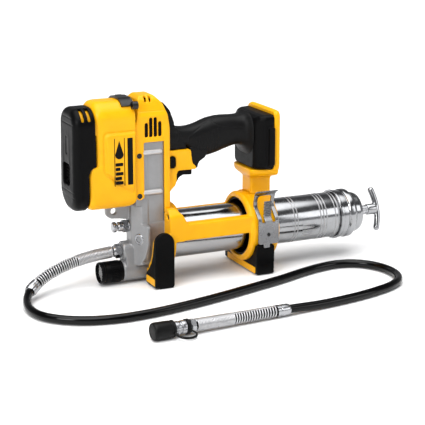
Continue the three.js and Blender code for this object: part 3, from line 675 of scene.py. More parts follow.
def make_housing():
    lower = cut(housing_form(-192.6, 7.0, 7.0), HOUSING_STEP)
    upper = common(housing_form(-184.0, 9.0, 8.0), HOUSING_STEP)
    side = extruded([(-192.6, 97, 1), (-144, 97, 6), (-134.9, 103, 6), (-134.9, 210, 10), (-140, 222, 14),
        (-192.6, 222, 3)], "Y", (-40, 40))
    shell = common(join(lower, upper), side)
    pads, creases = [], []
    for s in (-1, 1):
        outer = [to_space("Y", s * 28.6, u, v) for u, v in rounded([(-170.5, 142, 8), (-138, 120, 1),
            (-136.5, 185, 2), (-170.5, 185, 4)])]
        inner = [to_space("Y", s * 25.2, u, v) for u, v in rounded([(-173.2, 140, 9), (-138, 114.8, 1),
            (-134, 187.6, 2), (-173.2, 187.6, 5)])]
        pads.append(loft([outer, inner]))
        border = rounded([(-174.8, 139.6, 10), (-138, 113, 1), (-134, 189.2, 3), (-174.8, 189.2, 6)])
        creases.append(prism(border, "Y", span(s, 25.5, 30)))
    hollow = prism(upright(22.9, (100.6, 214.4), 10, 17), "X", (-200, -130))
    liner = cut(prism(upright(23.8, (101.5, 212.4), 20, 16.5), "X", (-203, -180)),
        prism(upright(22.4, (103, 211), 19, 15), "X", (-204, -179)), box((-210, -170), THROUGH, (90, 186)),
        *[box((x - 0.7, x + 0.7), (s * 20 - 10, s * 20 + 10), (205.5, 220)) for x in (-198.5, -190.7)
        for s in (-1, 1)])
    body = cut(join(cut(shell, *creases), *pads), hollow, SEAM)
    moulded("housing_shell", gather(body, liner), YELLOW, ["motor_housing_left", "motor_housing_right"],
        voxel=0.7)


# The label panels carry a plain bar and a drop over three lines.
def make_labels():
    plates = []
    for s in (-1, 1):
        face = (s * 28.1, s * 28.72)
        plates.append(slab((-146.4, -139.8), (126, 181), 0.6, "Y", face, steps=3))
        for x in (-162.6, -150.6):
            plates.append(box((x, x + 0.9), face, (125.5, 181.5)))
        for i, low in enumerate((127.2, 132.6, 138.0, 143.4, 148.8)):
            reach = (-151.8, -153.6, -151.8, -155.4, -151.8)[i]
            plates.append(slab((-161.2, reach), (low, low + 3.9), 0.8, "Y", face, steps=3))
        drop = [(-156.4 + 5.1 * math.cos(a), 162.2 + 5.1 * math.sin(a)) for a in [math.radians(150 + 240
            * k / 24) for k in range(25)]]
        plates.append(prism([*drop, (-156.4, 178.6)], "Y", face))
    for i, plate in enumerate(plates):
        machined(f"label_mark_{i + 1}", plate, PRINT, (), bevel=0)


def make_cap():
    loops = []
    radius = 9.0
    for k in range(9):
        angle = math.radians(90 * k / 8)
        inset = radius * (1 - math.sin(angle))
        x = -209.5 + radius * (1 - math.cos(angle))
        loops.append([(x, y, z) for y, z in upright(27.5, (95, 216), 25, 20, inset, 12)])
    loops.append([(-184.2, y, z) for y, z in upright(27.5, (95, 216), 25, 20, 0, 12)])
    loops.insert(0, [(-209.7, y * 0.5, 157 + (z - 157) * 0.8) for _, y, z in loops[0]])
    bulged = [[(x - 1.7 * math.exp(-((z - 131) / 20) ** 2) * (x < -195), y, z) for x, y, z in loop]
        for loop in loops]
    body = loft(bulged)
    notch = extruded([(-192.9, 80), (-180, 80), (-180, 149.5), (-186, 149.5, 2), (-190, 146.5, 4),
        (-192.9, 140, 4)], "Y", THROUGH)
    hollow = prism(upright(24.9, (100.6, 213.4), 22, 17.5), "X", (-205.5, -180))
    slots = []
    for x in (-200.2, -192.4):
        sweep = slab((x, x + 3.6), (-30, -9), 0, "Z", (202.5, 230))
        slots += [sweep, moved(sweep, Matrix.Scale(-1, 4, (0, 1, 0)))]
    ledge = slab((-11.5, 11.5), (127, 152), 4, "X", (-214, -205.6))
    bands = [box((-214, -208.9), (-22, 22), z) for z in ((205.2, 206.6), (198, 199.4), (119.5, 120.9),
        (113, 114.4))]
    outer = slab((-2.6, 2.6), (162, 184), 2.6, "X", (-214, -208.7))
    island = slab((-1.5, 1.5), (163, 183), 1.5, "X", (-209.6, -207))
    shaped = join(cut(body, notch, hollow, *slots, ledge, *bands, outer), island)
    moulded("cap_cover", shaped, BLACK, ["motor_end_cap"], voxel=0.6)
    # Near-black grille bars, and behind them a near-black plate that is painted shade for the dark inside of
    # the cap.
    grille = [box((-206.4, -205.4), (-11, 11), (z, z + 1.4)) for z in (130, 134, 138, 142, 146, 150)]
    back = box((-205.0, -204.2), (-12, 12), (126, 153))
    machined("cap_grille_and_shade_plate", gather(*grille, back), RECESS_SHADE, (), bevel=0.15)


make_housing()
make_labels()
make_cap()

# ---------------------------------------------------------------- column cover and switch block

SCREWS = ((-129.5, 157.0), (-129.5, 109.0))


def make_column():
    side = extruded([(-134.6, 106, 2), (-134.6, 190, 14), (-130.5, 207, 8), (-128, 222, 3), (-124.5, 226, 3),
        (-108, 226, 5), (-98, 216, 8), (-93.5, 203, 10), (-91, 188, 14), (-91, 86, 1), (-98.1, 86, 1),
        (-98.1, 106, 1)], "Y", (-23, 23))
    front = extruded([(-23, 80), (23, 80), (23, 203, 5), (20, 209.5, 2), (16.5, 221, 5), (11, 226.5, 5),
        (-11, 226.5, 5), (-16.5, 221, 5), (-20, 209.5, 2), (-23, 203, 5)], "X", (-140, -80))
    column = common(side, front)
    block = extruded([(-92, 158.2), (-92, 100), (-91.2, 104, 2), (-91, 108.5, 2), (-82.4, 117.0, 4),
        (-80.9, 122, 3), (-80.9, 130, 3), (-79, 133.8, 2), (-55.8, 133.8, 1.2), (-56.2, 137.2, 1),
        (-60.6, 141.6, 5), (-61.6, 149, 4), (-62.6, 158.2, 2.6)], "Y", (-19, 19))
    rim = []
    for s in (-1, 1):
        for x, z in SCREWS:
            rim.append(bar("Y", (s * 20, s * 23.6), 4.6, (x, z), 32))
    windows = [box((-123.5, -98.1), (s * 30 - 10, s * 30 + 10), (40, 172)) for s in (-1, 1)]
    vents = []
    for x, top in ((-120.2, 195), (-114.6, 201), (-109, 201), (-103.4, 196)):
        vents.append(extruded([(x - 2.2, 178, 1.2), (x + 2.2, 178, 1.2), (x + 2.2, top, 2.1),
            (x - 2.2, top, 2.1)], "Y", THROUGH, steps=4))
    arch = []
    for s in (-1, 1):
        arch.append(cut(extruded([(-124.6, 174.5, 2), (-98, 174.5, 2), (-98, 199, 10), (-105, 206.2, 8),
            (-117, 206.2, 8), (-124.6, 199, 10)], "Y", (s * 22.5, s * 26)), extruded([(-123.8, 175.3, 2),
            (-98.8, 175.3, 2), (-98.8, 198.7, 10), (-105.2, 205.4, 8), (-116.8, 205.4, 8),
            (-123.8, 198.7, 10)], "Y", (s * 20, s * 28))))
    ledge = [box((-140, -97), (s * 27 - 7, s * 27 + 7), (207.2, 208.4)) for s in (-1, 1)]
    slots = [box((x - 1.2, x + 1.2), (s * 17 - 6, s * 17 + 6), (217.6, 226.2)) for x in (-118.6, -113.0)
        for s in (-1, 1)]
    holes = []
    for x, z in SCREWS:
        holes += [bar("Y", (-30, -21.4), 3.3, (x, z), 32), bar("Y", (-30, -19), 1.8, (x, z), 24),
            bar("Y", (21.4, 30), 3.3, (x, z), 32)]
    lock = slab((-90.3, -82.3), (137.5, 152.1), 3.6, "Y", THROUGH)
    rooms = [box((-140, -97.3), (-20.3, 20.3), (70, 199)), box((-125, -100), (-13, 13), (198, 222.5)),
        box((-80.2, -55.6), (-8, 8), (100, 140.5)), box((-80.2, -62.4), (-8, 8), (139, 156)), lock]
    marks = [box((-94.5, -92.4), (s * 23 - 0.5, s * 23 + 0.5), z) for z in ((184, 186), (188.5, 190.5))
        for s in (-1, 1)]
    body = cut(join(column, block, *rim), *windows, *vents, *arch, *ledge, *slots, *holes, *rooms, *marks,
        SEAM)
    moulded("column_shell", body, YELLOW, ["column_cover_left", "column_cover_right"],
        voxel=0.7)
    # Painted shade: a near-black block under the top slots and thin near-black sheets behind the side vents
    # stand in for the shade inside the column.
    baffle = extruded([(-124, 184.6, 1), (-100.6, 184.6, 1), (-100.6, 214, 4), (-108, 220, 4),
        (-124, 220, 2)], "Y", (-12.6, 12.6))
    shade_linings = [box((-124, -99.6), span(s, 20.2, 21.2), (175.6, 204.6)) for s in (-1, 1)]
    machined("column_vent_shade", gather(baffle, *shade_linings), RECESS_SHADE, (), bevel=0.3)
    for i, (x, z) in enumerate(SCREWS):
        head = bar("Y", (-23.0, -21.6), 3.0, (x, z), 32)
        star = [box((x - 1.5, x + 1.5), (-23.5, -22.3), (z - 0.3, z + 0.3)),
            box((x - 0.3, x + 0.3), (-23.5, -22.3), (z - 1.5, z + 1.5))]
        screw = join(cut(head, *star), bar("Y", (-21.7, -17.6), 1.5, (x, z), 16))
        machined(f"cover_screw_head_{i + 1}", screw, GUNMETAL, [f"cover_screw_{i + 1}"],
            bevel=0.15)
        far = bar("Y", (21.5, 22.6), 3.0, (x, z), 32)
        machined(f"cover_plug_{i + 1}", far, GUNMETAL, (), bevel=0.2)


def make_lock():
    core = slab((-90.0, -82.6), (137.8, 151.8), 3.4, "Y", (-20.8, 16.8))
    dish = slab((-89, -83.6), (138.8, 150.8), 2.8, "Y", (-25, -20.4))
    bead = slab((-88.2, -84.4), (143.2, 146.4), 0.7, "Y", (-20.9, -19))
    moulded("lock_slider", join(cut(core, dish), bead), BLACK, ["lock_button"],
        "lock_button", voxel=0.4, keep=0.4)


def make_trigger():
    loops = []
    for k in range(13):
        y = -7.2 + 14.4 * k / 12
        draw = 1.6 * (abs(y) / 7.2) ** 4
        loops.append([(x, y, z) for x, z in rounded([(-77.4, 134.2), (-77.6, 128, 4),
            (-78.8 + draw * 0.2, 116.2, 0.6), (-76.6, 116.2 + draw * 0.3, 0.8),
            (-73.4, 121.8 + draw * 0.5, 5), (-68, 124.9 + draw * 0.5, 5), (-57.6, 124.3 + draw * 0.4, 2),
            (-56.2 - draw * 0.2, 125.8, 1), (-56.2 - draw * 0.2, 134.2)], 6)])
    ribs = [box((-76, -58), (y - 0.35, y + 0.35), (118, 125.4)) for y in (-4, -2, 0, 2, 4)]
    post = box((-77.8, -63.2), (-6.8, 6.8), (132, 138.9))
    moulded("trigger_lever", cut(join(loft(loops), post), *ribs), BLACK, ["trigger"],
        "trigger", voxel=0.35, keep=0.4)
    coil = wire([(-75 + 2.2 * math.cos(2 * math.pi * k / 20), 2.2 * math.sin(2 * math.pi * k / 20),
        139.75 + 6.4 * k / 60) for k in range(61)], 0.4, 8)
    spring = finish_piece("trigger_coil", coil, PLATED, "gun", ["trigger_spring"], 0)
    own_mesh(spring)


make_column()
make_lock()
make_trigger()

# ---------------------------------------------------------------- cradle and feet

BARREL_Z = 52.5
BARREL_R = 28.5
AXIS = (0, BARREL_Z)
# The arch of a front leg seen from the front, as (Y, Z, radius) on one side.
LEG_ARC = [(39.6, 68), (37.0, 61, 5), (33.6, 52, 8), (31.4, 41, 8), (27.4, 31.6, 8), (20.2, 23.8, 5),
    (13.7, 18.2, 3), (13.7, 3)]


# The round head of a front leg, as (X, Z) points from the rear edge over the top to the front edge.
def leg_head(x, z, radius):
    return [(x + radius * math.cos(math.pi * k / 20), z + radius * math.sin(math.pi * k / 20))
        for k in range(21)]


def make_cradle():
    side_leg = [(-118.6, 3, 2), (-94.4, 3, 2), *leg_head(-106.5, 54.6, 12.1)]

    def leg(s):
        block = extruded(side_leg, "Y", span(s, 20.4, 39.6))
        outline = rounded([(39.6, 3), *LEG_ARC[:-1], (13.7, 3)])
        front = prism([(s * u, v) for u, v in outline], "X", (-118.6, -98))
        toe = common(extruded(side_leg, "Y", span(s, 13.7, 39.6)), front)
        return join(cut(block, box((-130, -98.4), THROUGH, (-5, 90))), toe)

    def wall(s):
        shape = rounded([(s * 20.6, 20), (s * 39.2, 20, 6), (s * 39.4, 84, 9), (s * 32, 92, 6),
            (s * 20.6, 92)])
        return prism(shape, "X", (-98.4, -95))

    def flare(s):
        outline = rounded([(-95.2, 56), (-95.2, 92), (-89, 92, 5), (-82, 85, 6), (-77.5, 77, 6), (-73, 68, 6),
            (-73, 56)])
        shape = rounded([(s * 18, 40), (s * 39.4, 40), (s * 39.4, 84, 9), (s * 32, 92, 6), (s * 18, 92)])
        return common(prism(outline, "Y", span(s, 18, 39.4)), prism(shape, "X", (-100, -60)))

    def beam(s):
        profile = rounded([(s * 30, 53, 1), (s * 39.4, 53, 2), (s * 39.4, 73, 2), (s * 33, 74.4, 2),
            (s * 30, 74.4, 1)])
        return prism(profile, "X", (-95, 8))

    front_collar = cut(bar("X", (-96.5, -80), 39.5, AXIS, 96), box((-90.6, -70), THROUGH, (0, 52.6)))
    rear_collar = lathe([(6, 35), (6, 40.5, 2), (9, 42.5, 2), (42, 42.5, 2), (45, 40.5, 2), (45, 35)], AXIS,
        96, steps=4)
    ridge = turned([(9, 41), (9, 42.9), (12.5, 42.9), (12.5, 41)], AXIS, 96)
    saddle = box((14, 36), (-38, 38), (12.3, 40))
    lips = [extruded([(s * 27, 84, 2), (s * 13, 95, 3), (s * 13, 92), (s * 25, 81)], "X", (16, 45))
        for s in (-1, 1)]
    body = join(front_collar, rear_collar, ridge, saddle, *both(leg), *both(flare), *both(beam), *lips)
    body = cut(body, bar("X", (-96, -79), 34, AXIS, 96))
    body = join(body, *both(wall))
    holes = [bar("X", (-99, -95.6), 3.7, (s * 31.5, 82.6), 32) for s in (-1, 1)]
    cuts = [bar("X", (5, 46), 36, AXIS, 96), bar("X", (-82, 20), 30, AXIS, 96),
        bar("X", (-95.8, -79), 34, AXIS, 96), box((-120, -90.7), (-23.3, 23.3), (86, 120)),
        box((-121, -90.7), (-20.4, 20.4), (19, 96.8)), box((-121, -79), (-13.5, 13.5), (0, 19.1)),
        box((-121, -90), THROUGH, (-1, 3.2)), box((-112.9, -97.1), (-42, 42), (0, 9.3)), SEAM, *holes]
    moulded("cradle_shell", cut(body, *cuts), YELLOW, ["cradle_left", "cradle_right"],
        voxel=0.75)
    for i, s in enumerate((-1, 1)):
        head = bar("X", (-97.0, -95.8), 3.3, (s * 31.5, 82.6), 32)
        machined(f"collar_screw_{i + 1}", head, GUNMETAL, (), bevel=0.2)


def make_feet():
    pad_side = rounded([(-114.5, 0, 1), (-97.4, 0, 1), (-95.7, 3, 2), *leg_head(-106.9, 54.9, 11.2),
        (-118.2, 26, 10)])

    def pad(s):
        outer = prism(pad_side, "Y", span(s, 39.9, 45.4))
        edge = [(45.4, 1.5, 2), (45.4, 56, 1), (41.8, 55.6, 3), (38.2, 49.4, 6), (36.0, 40, 8),
            (31.0, 28.6, 8), (22.8, 19.8, 5), (16.6, 14.8, 3), (15.2, 13, 1), (15.2, 1.5, 2)]
        front = prism([(s * u, v) for u, v in rounded(edge)], "X", (-120.0, -118.7))
        corner = prism([(s * 38.7, 2), (s * 45.4, 2), (s * 45.4, 70), (s * 38.7, 70)], "X", (-119.8, -101))
        crown = prism([(-120, 0), (-96, 0), *leg_head(-107.4, 54.4, 12.4)], "Y", THROUGH)
        return join(outer, front, common(corner, crown))

    tie = box((-112.6, -97.4), (-41, 41), (1.6, 9))
    arch = box((-113.5, -90), (-30, 30), (-1, 4))
    toes = [box((-119, -97.4), span(s, 15.2, 41), (0.4, 3.0)) for s in (-1, 1)]
    moulded("front_foot_pads", cut(join(*both(pad), tie, *toes), arch), BLACK, ["front_foot"],
        voxel=0.7, passes=2)
    strips = [prism([(s * u, v) for u, v in rounded([(42.5, 3.4, 1), (42.5, 11.8, 2), (17, 11.8, 2),
        (17, 3.4, 1)])], "X", (-120.5, -119.6)) for s in (-1, 1)]
    machined("front_foot_inlays", gather(*strips), YELLOW, (), bevel=0.3)
    side = rounded([(12.2, 2, 1), (14.5, 0, 1), (34, 0, 1), (35.5, 2, 1), (36, 36, 3), (31, 39, 3),
        (17, 39, 3), (12, 36, 3)])
    front = extruded([(-45.4, 0, 3), (45.4, 0, 3), (45.4, 39, 6), (-45.4, 39, 6)], "X", (5, 40))
    rear = common(prism(side, "Y", (-45.4, 45.4)), front)
    room = [bar("X", (0, 60), 42.8, AXIS, 96), box((13.7, 36.4), (-38.3, 38.3), (12, 60)),
        box((10, 40), (-50, -42.6), (37.7, 60)), box((21.2, 30.3), (-50, -42.6), (33, 50))]
    moulded("rear_foot_pad", cut(rear, *room), BLACK, ["rear_foot"], voxel=0.7)
    inlay = extruded([(-41, 1.8, 1), (36, 1.8, 1), (36, 9.5, 2), (-41, 9.5, 2)], "X", (11.4, 12.5))
    machined("rear_foot_inlay", inlay, YELLOW, (), bevel=0.3)


make_cradle()
make_feet()

# ---------------------------------------------------------------- neck, battery plate and base


def make_neck():
    neck = extruded([(19.3, -13, 3), (46, -13, 2), (46, 13, 2), (19.3, 13, 3)], "Z", (80, 116))
    levels = [(111, 19.3, 46, 13, 3), (113.6, 18.8, 46, 14.5, 3), (115.6, 17.2, 46, 19, 4),
        (117.4, 15.2, 46, 26, 6), (119.8, 13.6, 46, 31.8, 7), (122.8, 13, 46, 34.4, 8),
        (126.9, 13, 46, 35, 8)]
    flare = loft([[(x, y, z) for x, y in rounded([(a, -h * 0.75, r), (b, -h, 1), (b, h, 1),
        (a, h * 0.75, r)])] for z, a, b, h, r in levels])
    plate = prism(upright(37, (122, 198), 12, 7, 0, 10), "X", (38.6, 46))
    step = cut(prism(upright(37.8, (121.4, 198.8), 12.5, 7.5, 0, 10), "X", (41.2, 44.2)),
        prism(upright(30, (128, 190), 8, 10), "X", (35, 50)))
    socket = prism(upright(22, (139, 184), 3, 3), "X", (30, 60))
    rails = [slab((s * 22, s * 27), (150, 184), 1, "X", (43.2, 60)) for s in (-1, 1)]
    cuts = [socket, *rails, box((24, 41), (-8, 8), (90, 140)), bar("X", (0, 60), 42.8, AXIS, 96), SEAM]
    moulded("neck_shell", cut(join(neck, flare, plate, step), *cuts), YELLOW,
        ["battery_neck_left", "battery_neck_right"], voxel=0.7)


def make_base():
    levels = [(15.5, 25, 129, 187.5, 6), (18, 29, 128, 190.0, 6), (22, 33.5, 127.5, 192.4, 6),
        (27, 36.6, 127.3, 193.6, 6), (38.3, 37, 127.3, 194.2, 6)]
    outside = loft([[(x, y, z) for y, z in upright(half, (low, high), r, r, 0, 8)] for x, half, low, high,
        r in levels])
    inside = join(prism(upright(33, (133, 184), 4, 4), "X", (30, 50)), prism(upright(22, (135, 182), 4, 4),
        "X", (20, 31)))
    lead = box((10, 24), (-8, 8), (164, 179))
    bumps = [extruded([(30.4, 133, 2), (38.2, 133, 2), (38.2, 180, 3), (30.4, 180, 3)], "Y",
        span(s, 35, 40.0)) for s in (-1, 1)]
    lines = [box((28.4, 29.3), span(s, 35.6, 40), (130, 188)) for s in (-1, 1)]
    moulded("base_shell", cut(join(outside, *bumps), inside, lead, *lines), BLACK, ["battery_base"],
        voxel=0.7)


def make_terminals():
    block = extruded([(24, 146, 0.5), (45.5, 146, 1), (45.5, 158, 1), (24, 158, 0.5)], "Y", (-19, 19))
    slots = [box((40, 48), (y - 2.6, y + 2.6), (147.4, 156.6)) for y in (-13, -5, 5, 13)]
    machined("terminal_holder", cut(block, *slots), BLACK, ["terminal_block"], bevel=0.25)
    blades = [extruded([(38, 147.5), (46, 147.5, 1), (46, 156.5, 1), (38, 156.5)], "Y", (y - 0.6, y + 0.6))
        for y in (-13, -5, 5, 13)]
    machined("terminal_blades", gather(*blades), BRASS, (), bevel=0.15)


make_neck()
make_base()
make_terminals()

# ---------------------------------------------------------------- grip


# The value at x on a smooth curve through the stops.
def between(stops, x):
    if x <= stops[0][0]:
        return stops[0][1]
    slopes = [(stops[min(i + 1, len(stops) - 1)][1] - stops[max(i - 1, 0)][1]) / (stops[min(i + 1,
        len(stops) - 1)][0] - stops[max(i - 1, 0)][0]) for i in range(len(stops))]
    for i, ((a, u), (b, v)) in enumerate(zip(stops, stops[1:])):
        if x <= b:
            t, w = (x - a) / (b - a), b - a
            return (u * (1 + 2 * t) * (1 - t) ** 2 + slopes[i] * w * t * (1 - t) ** 2 + v * t * t
                * (3 - 2 * t) + slopes[i + 1] * w * t * t * (t - 1))
    return stops[-1][1]


GRIP_TOP = [(-90, 184.5), (-79, 184.2), (-64, 182.7), (-51, 184.6), (-34, 190.2), (-19, 192.2), (3, 191.8),
    (9.5, 192.6), (15.6, 196)]
GRIP_LOW = [(-90, 158.6), (-66, 158.6), (-56, 150), (-41, 145.8), (-29, 147.4), (-13.6, 152.1), (0.5, 155.6),
    (8, 154), (15.6, 143)]
GRIP_HALF = [(-90, 16), (-78, 15.6), (-64, 15), (-45, 15.8), (-28, 17), (-8, 16.8), (4, 17.6), (10, 20),
    (15.6, 28)]


def grip_point(x, degrees, out=0.0):
    top, low, half = between(GRIP_TOP, x), between(GRIP_LOW, x), between(GRIP_HALF, x)
    c, s = math.cos(math.radians(degrees)), math.sin(math.radians(degrees))
    return (x, (half + out) * math.copysign(abs(c) ** 0.72, c), (top + low) / 2 + ((top - low) / 2 + out)
        * math.copysign(abs(s) ** 0.78, s))


def make_grip():
    steps = 72
    bodywork = loft([[grip_point(-90.6 + 106.2 * k / steps, 360 * i / 48) for i in range(48)]
        for k in range(steps + 1)])
    lobe = extruded([(-62.2, 158.8), (-61.2, 149, 4), (-60.2, 142, 5), (-55.8, 137.6, 1), (-55.4, 134.2, 0.6),
        (-52.6, 134.2, 1), (-50.4, 141.5, 8), (-41, 146.5, 10), (-38, 160)], "Y", (-15, 15))
    back = extruded([(-90.6, 184), (-90.6, 188, 4), (-93.6, 204, 12), (-98.6, 216.6), (-95, 215.6, 1),
        (-86.5, 206, 14), (-81.2, 192, 16), (-79.4, 182)], "Y", (-12, 12))
    fill = prism([(-90.6, 158.6), (-90.6, 186), (-78, 184), (-66, 158.6)], "Y", (-15.4, 15.4))
    hollow = prism([(-86, 163), (-50, 163), (-40, 155), (-14, 160), (16, 164), (16, 181), (-30, 182),
        (-50, 176), (-86, 175)], "Y", (-11.5, 11.5))
    body = join(bodywork, lobe, back, fill)
    lines = [([(-77, 78), (-76.6, 40), (-77, 0), (-77.6, -50)], 0.7), ([(-67, -60), (-65, -30), (-63, 5),
        (-56, 34), (-44, 58), (-34, 70), (-29, 74)], 0.8), ([(-32, 72), (-31, 50), (-26, 34), (-18, 20),
        (-8, 12), (6, 10)], 0.8), ([(-29, 74), (-27, 84), (-26.4, 90)], 0.8)]
    for k in range(8):
        lines.append(([(-53.6 + 3.7 * k, -34), (-53.2 + 3.7 * k, -10), (-52.2 + 3.7 * k, 12 + 1.5 * k)],
            0.85))
    seams = []
    for marks, radius in lines:
        path = []
        for (x0, a0), (x1, a1) in zip(marks, marks[1:]):
            path += [(x0 + (x1 - x0) * t / 6, a0 + (a1 - a0) * t / 6) for t in range(6)]
        path.append(marks[-1])
        for flip in (False, True):
            seams.append(wire([grip_point(x, 180 - a if flip else a, 0.1) for x, a in path], radius, 8))
    for seam in seams:
        body = cut(body, seam)
    trigger_room = box((-80.2, -55.2), (-8, 8), (130, 141.2))
    moulded("grip_shell", cut(body, hollow, trigger_room, SEAM), SOFT, ["grip_left", "grip_right"],
        voxel=0.6)


make_grip()

# ---------------------------------------------------------------- pump head casting


# The frame of the slanted boss: its face looks between the front and the side of the gun.
BOSS = Matrix.Translation((-133.2, -9.6, 0)) @ Matrix.Rotation(math.radians(30), 4, "Z") @ Matrix.Scale(-1, 4,
    (0, 1, 0))


def make_casting():
    plan = rounded([(-135.4, -8, 2), (-126.4, -20, 3), (-97.6, -20, 1.5), (-97.6, 20, 1.5), (-126.4, 20, 3),
        (-135.4, 8, 2)])
    lower = prism(plan, "Z", (24, 96.5))
    upper = extruded([(-133.4, 96, 1), (-97.6, 96), (-97.6, 184, 2), (-133.4, 184, 2)], "Y", (-20, 20))
    ribs = []
    for z in (160, 112.2):
        for s in (-1, 1):
            loops = [[(x, s * 20.2 + r * math.cos(a), z + r * math.sin(a)) for a in [2 * math.pi * i / 24
                for i in range(24)]] for x, r in ((-124.6, 2.9), (-103.2, 2.9), (-102.2, 2.75), (-101.2, 2.3),
                (-100.6, 1.7), (-100.3, 0.8))]
            ribs.append(loft(loops))
    socket = bar("X", (-98, -93), 33.4, AXIS, 96)
    outlet = lathe([(-120, 0), (-120, 11.5), (-144, 11.5), (-146, 10.6, 1), (-146, 0)], (0, 39.5), 72)
    lamp = lathe([(-113, 0), (-113, 13), (-145, 13), (-146, 12.2, 0.6), (-146, 0)], (0, 15), 72)
    web = extruded([(-12, 12), (12, 12), (11, 44), (-11, 44)], "X", (-143, -113.2))
    face = [BOSS @ Vector((0, u, v)) for u, v in rounded([(0, 68, 2), (8.5, 75.2, 2), (22, 72, 2),
        (22, 51, 10), (16.5, 33, 10), (6.5, 21.5, 3), (1, 26, 3), (0, 45)])]
    ear = loft([[tuple(p) for p in face], [(-119, min(max(p.y, -28.6), -8), p.z) for p in face]])
    lug = extruded([(-134, 77), (-148, 79.5, 14), (-159, 80.5, 8), (-164.5, 84.5, 7), (-164.5, 97.5, 7),
        (-134, 97.5)], "Y", (-3, 3))
    screw_bosses = [bar("Y", (s * 17, s * 20.6), 4, (-129.5, 157), 32) for s in (-1, 1)]
    # The ribs take the paler metal: machined finish together with a painted highlight.
    machined("casting_ribs", gather(*ribs), FACED_AND_HIGHLIGHT, (), bevel=0)
    body = join(lower, upper, socket, outlet, lamp, web, ear, lug, *screw_bosses)
    fields = []
    for s in (-1, 1):
        for low, high in ((115.6, 156.6), (74.6, 108.8)):
            fields.append(extruded([(-118.2, low, 1.5), (-94, low), (-94, high), (-118.2, high, 1.5)], "Y",
                span(s, 19.1, 24)))
    cuts = [box((-140, -100.5), (-16.4, 16.4), (118, 180)), bar("X", (-96, -80), 28.8, AXIS, 96),
        bar("Z", (34, 119), 4.9, (-106.5, 0), 32), bar("X", (-106.5, -90), 5, AXIS, 32),
        bar("X", (-150, -106.5), 4.3, (0, 39.5), 32), bar("X", (-140, -106.5), 3.3, (0, 69), 24),
        moved(bar("X", (-3, 5), 7.2, (8.6, 55.5), 40), BOSS), bar("Y", (-10, 10), 3.8, (-154.8, 89), 40),
        box((-113, -81), THROUGH, (0, 18.6)), box((-150, -141.5), (-16, 16), (26.9, 28.1)), *fields]
    moulded("casting", cut(body, *cuts), CAST, ["pump_head"], voxel=0.65, passes=2, keep=0.35)


def hex_body(x, flat, centre, chamfer=0.8, spin=0.0):
    corner = flat / math.cos(math.pi / 6)
    body = prism(circle(centre, corner, 6, spin), "X", x)
    dome = turned([(x[0], 0), (x[0], flat * 0.97), (x[0] + chamfer, corner), (x[1] - chamfer, corner),
        (x[1], flat * 0.97), (x[1], 0)], centre, 64)
    return common(body, dome)


def make_fittings():
    centre = (0, 39.5)
    nut = join(hex_body((-153.6, -146.3), 7.5, centre, 0.9, 0.25), lathe([(-156.4, 0), (-156.4, 6.2, 0.5),
        (-154.6, 6.8, 0.4), (-153.4, 6.8), (-153.4, 0)], centre, 56), bar("X", (-147, -141), 3.9, centre, 32))
    machined("outlet_nut", cut(nut, bar("X", (-160, -140), 2.2, centre, 32)), PLATED, ["outlet_fitting"],
        bevel=0.2)
    centre = (0, 69)
    valve = join(hex_body((-144.2, -137.4), 6.5, centre, 0.6, 0.1), lathe([(-137.6, 0), (-137.6, 6.9, 0.3),
        (-135.6, 6.9, 0.3), (-135.6, 0)], centre, 56), lathe([(-149.9, 0), (-149.9, 5.0, 0.5),
        (-148.9, 5.8, 0.3), (-142, 5.8), (-142, 0)], centre, 56), bar("X", (-136.5, -128), 2.9, centre, 24))
    machined("bleeder_body", cut(valve, bar("X", (-152, -143), 2.5, centre, 32)), PLATED, ["bleeder_valve"],
        bevel=0.15)
    button = join(lathe([(-156.4, 0), (-156.4, 5.0, 0.8), (-155.4, 6.3, 0.6), (-152.0, 6.3, 0.5),
        (-152.0, 0)], centre, 56, steps=4), bar("X", (-153, -146), 2.1, centre, 24))
    rings = [turned([(x, 5.75), (x, 7), (x + 0.35, 7), (x + 0.35, 5.75)], centre, 56)
        for x in (-154.6, -153.6)]
    machined("bleeder_cap", cut(button, *rings), PLATED, ["bleeder_button"], "bleeder_button",
        bevel=0)
    centre = (8.6, 55.5)
    plug = lathe([(-1.0, 0), (-1.0, 5.9, 0.4), (-0.3, 6.8, 0.4), (4.8, 6.8), (4.8, 0)], centre, 56)
    socket = prism(circle(centre, 3.9, 6), "X", (-3, 3.2))
    machined("hex_plug", moved(cut(plug, socket), BOSS), PLATED, ["port_plug"], bevel=0.2)


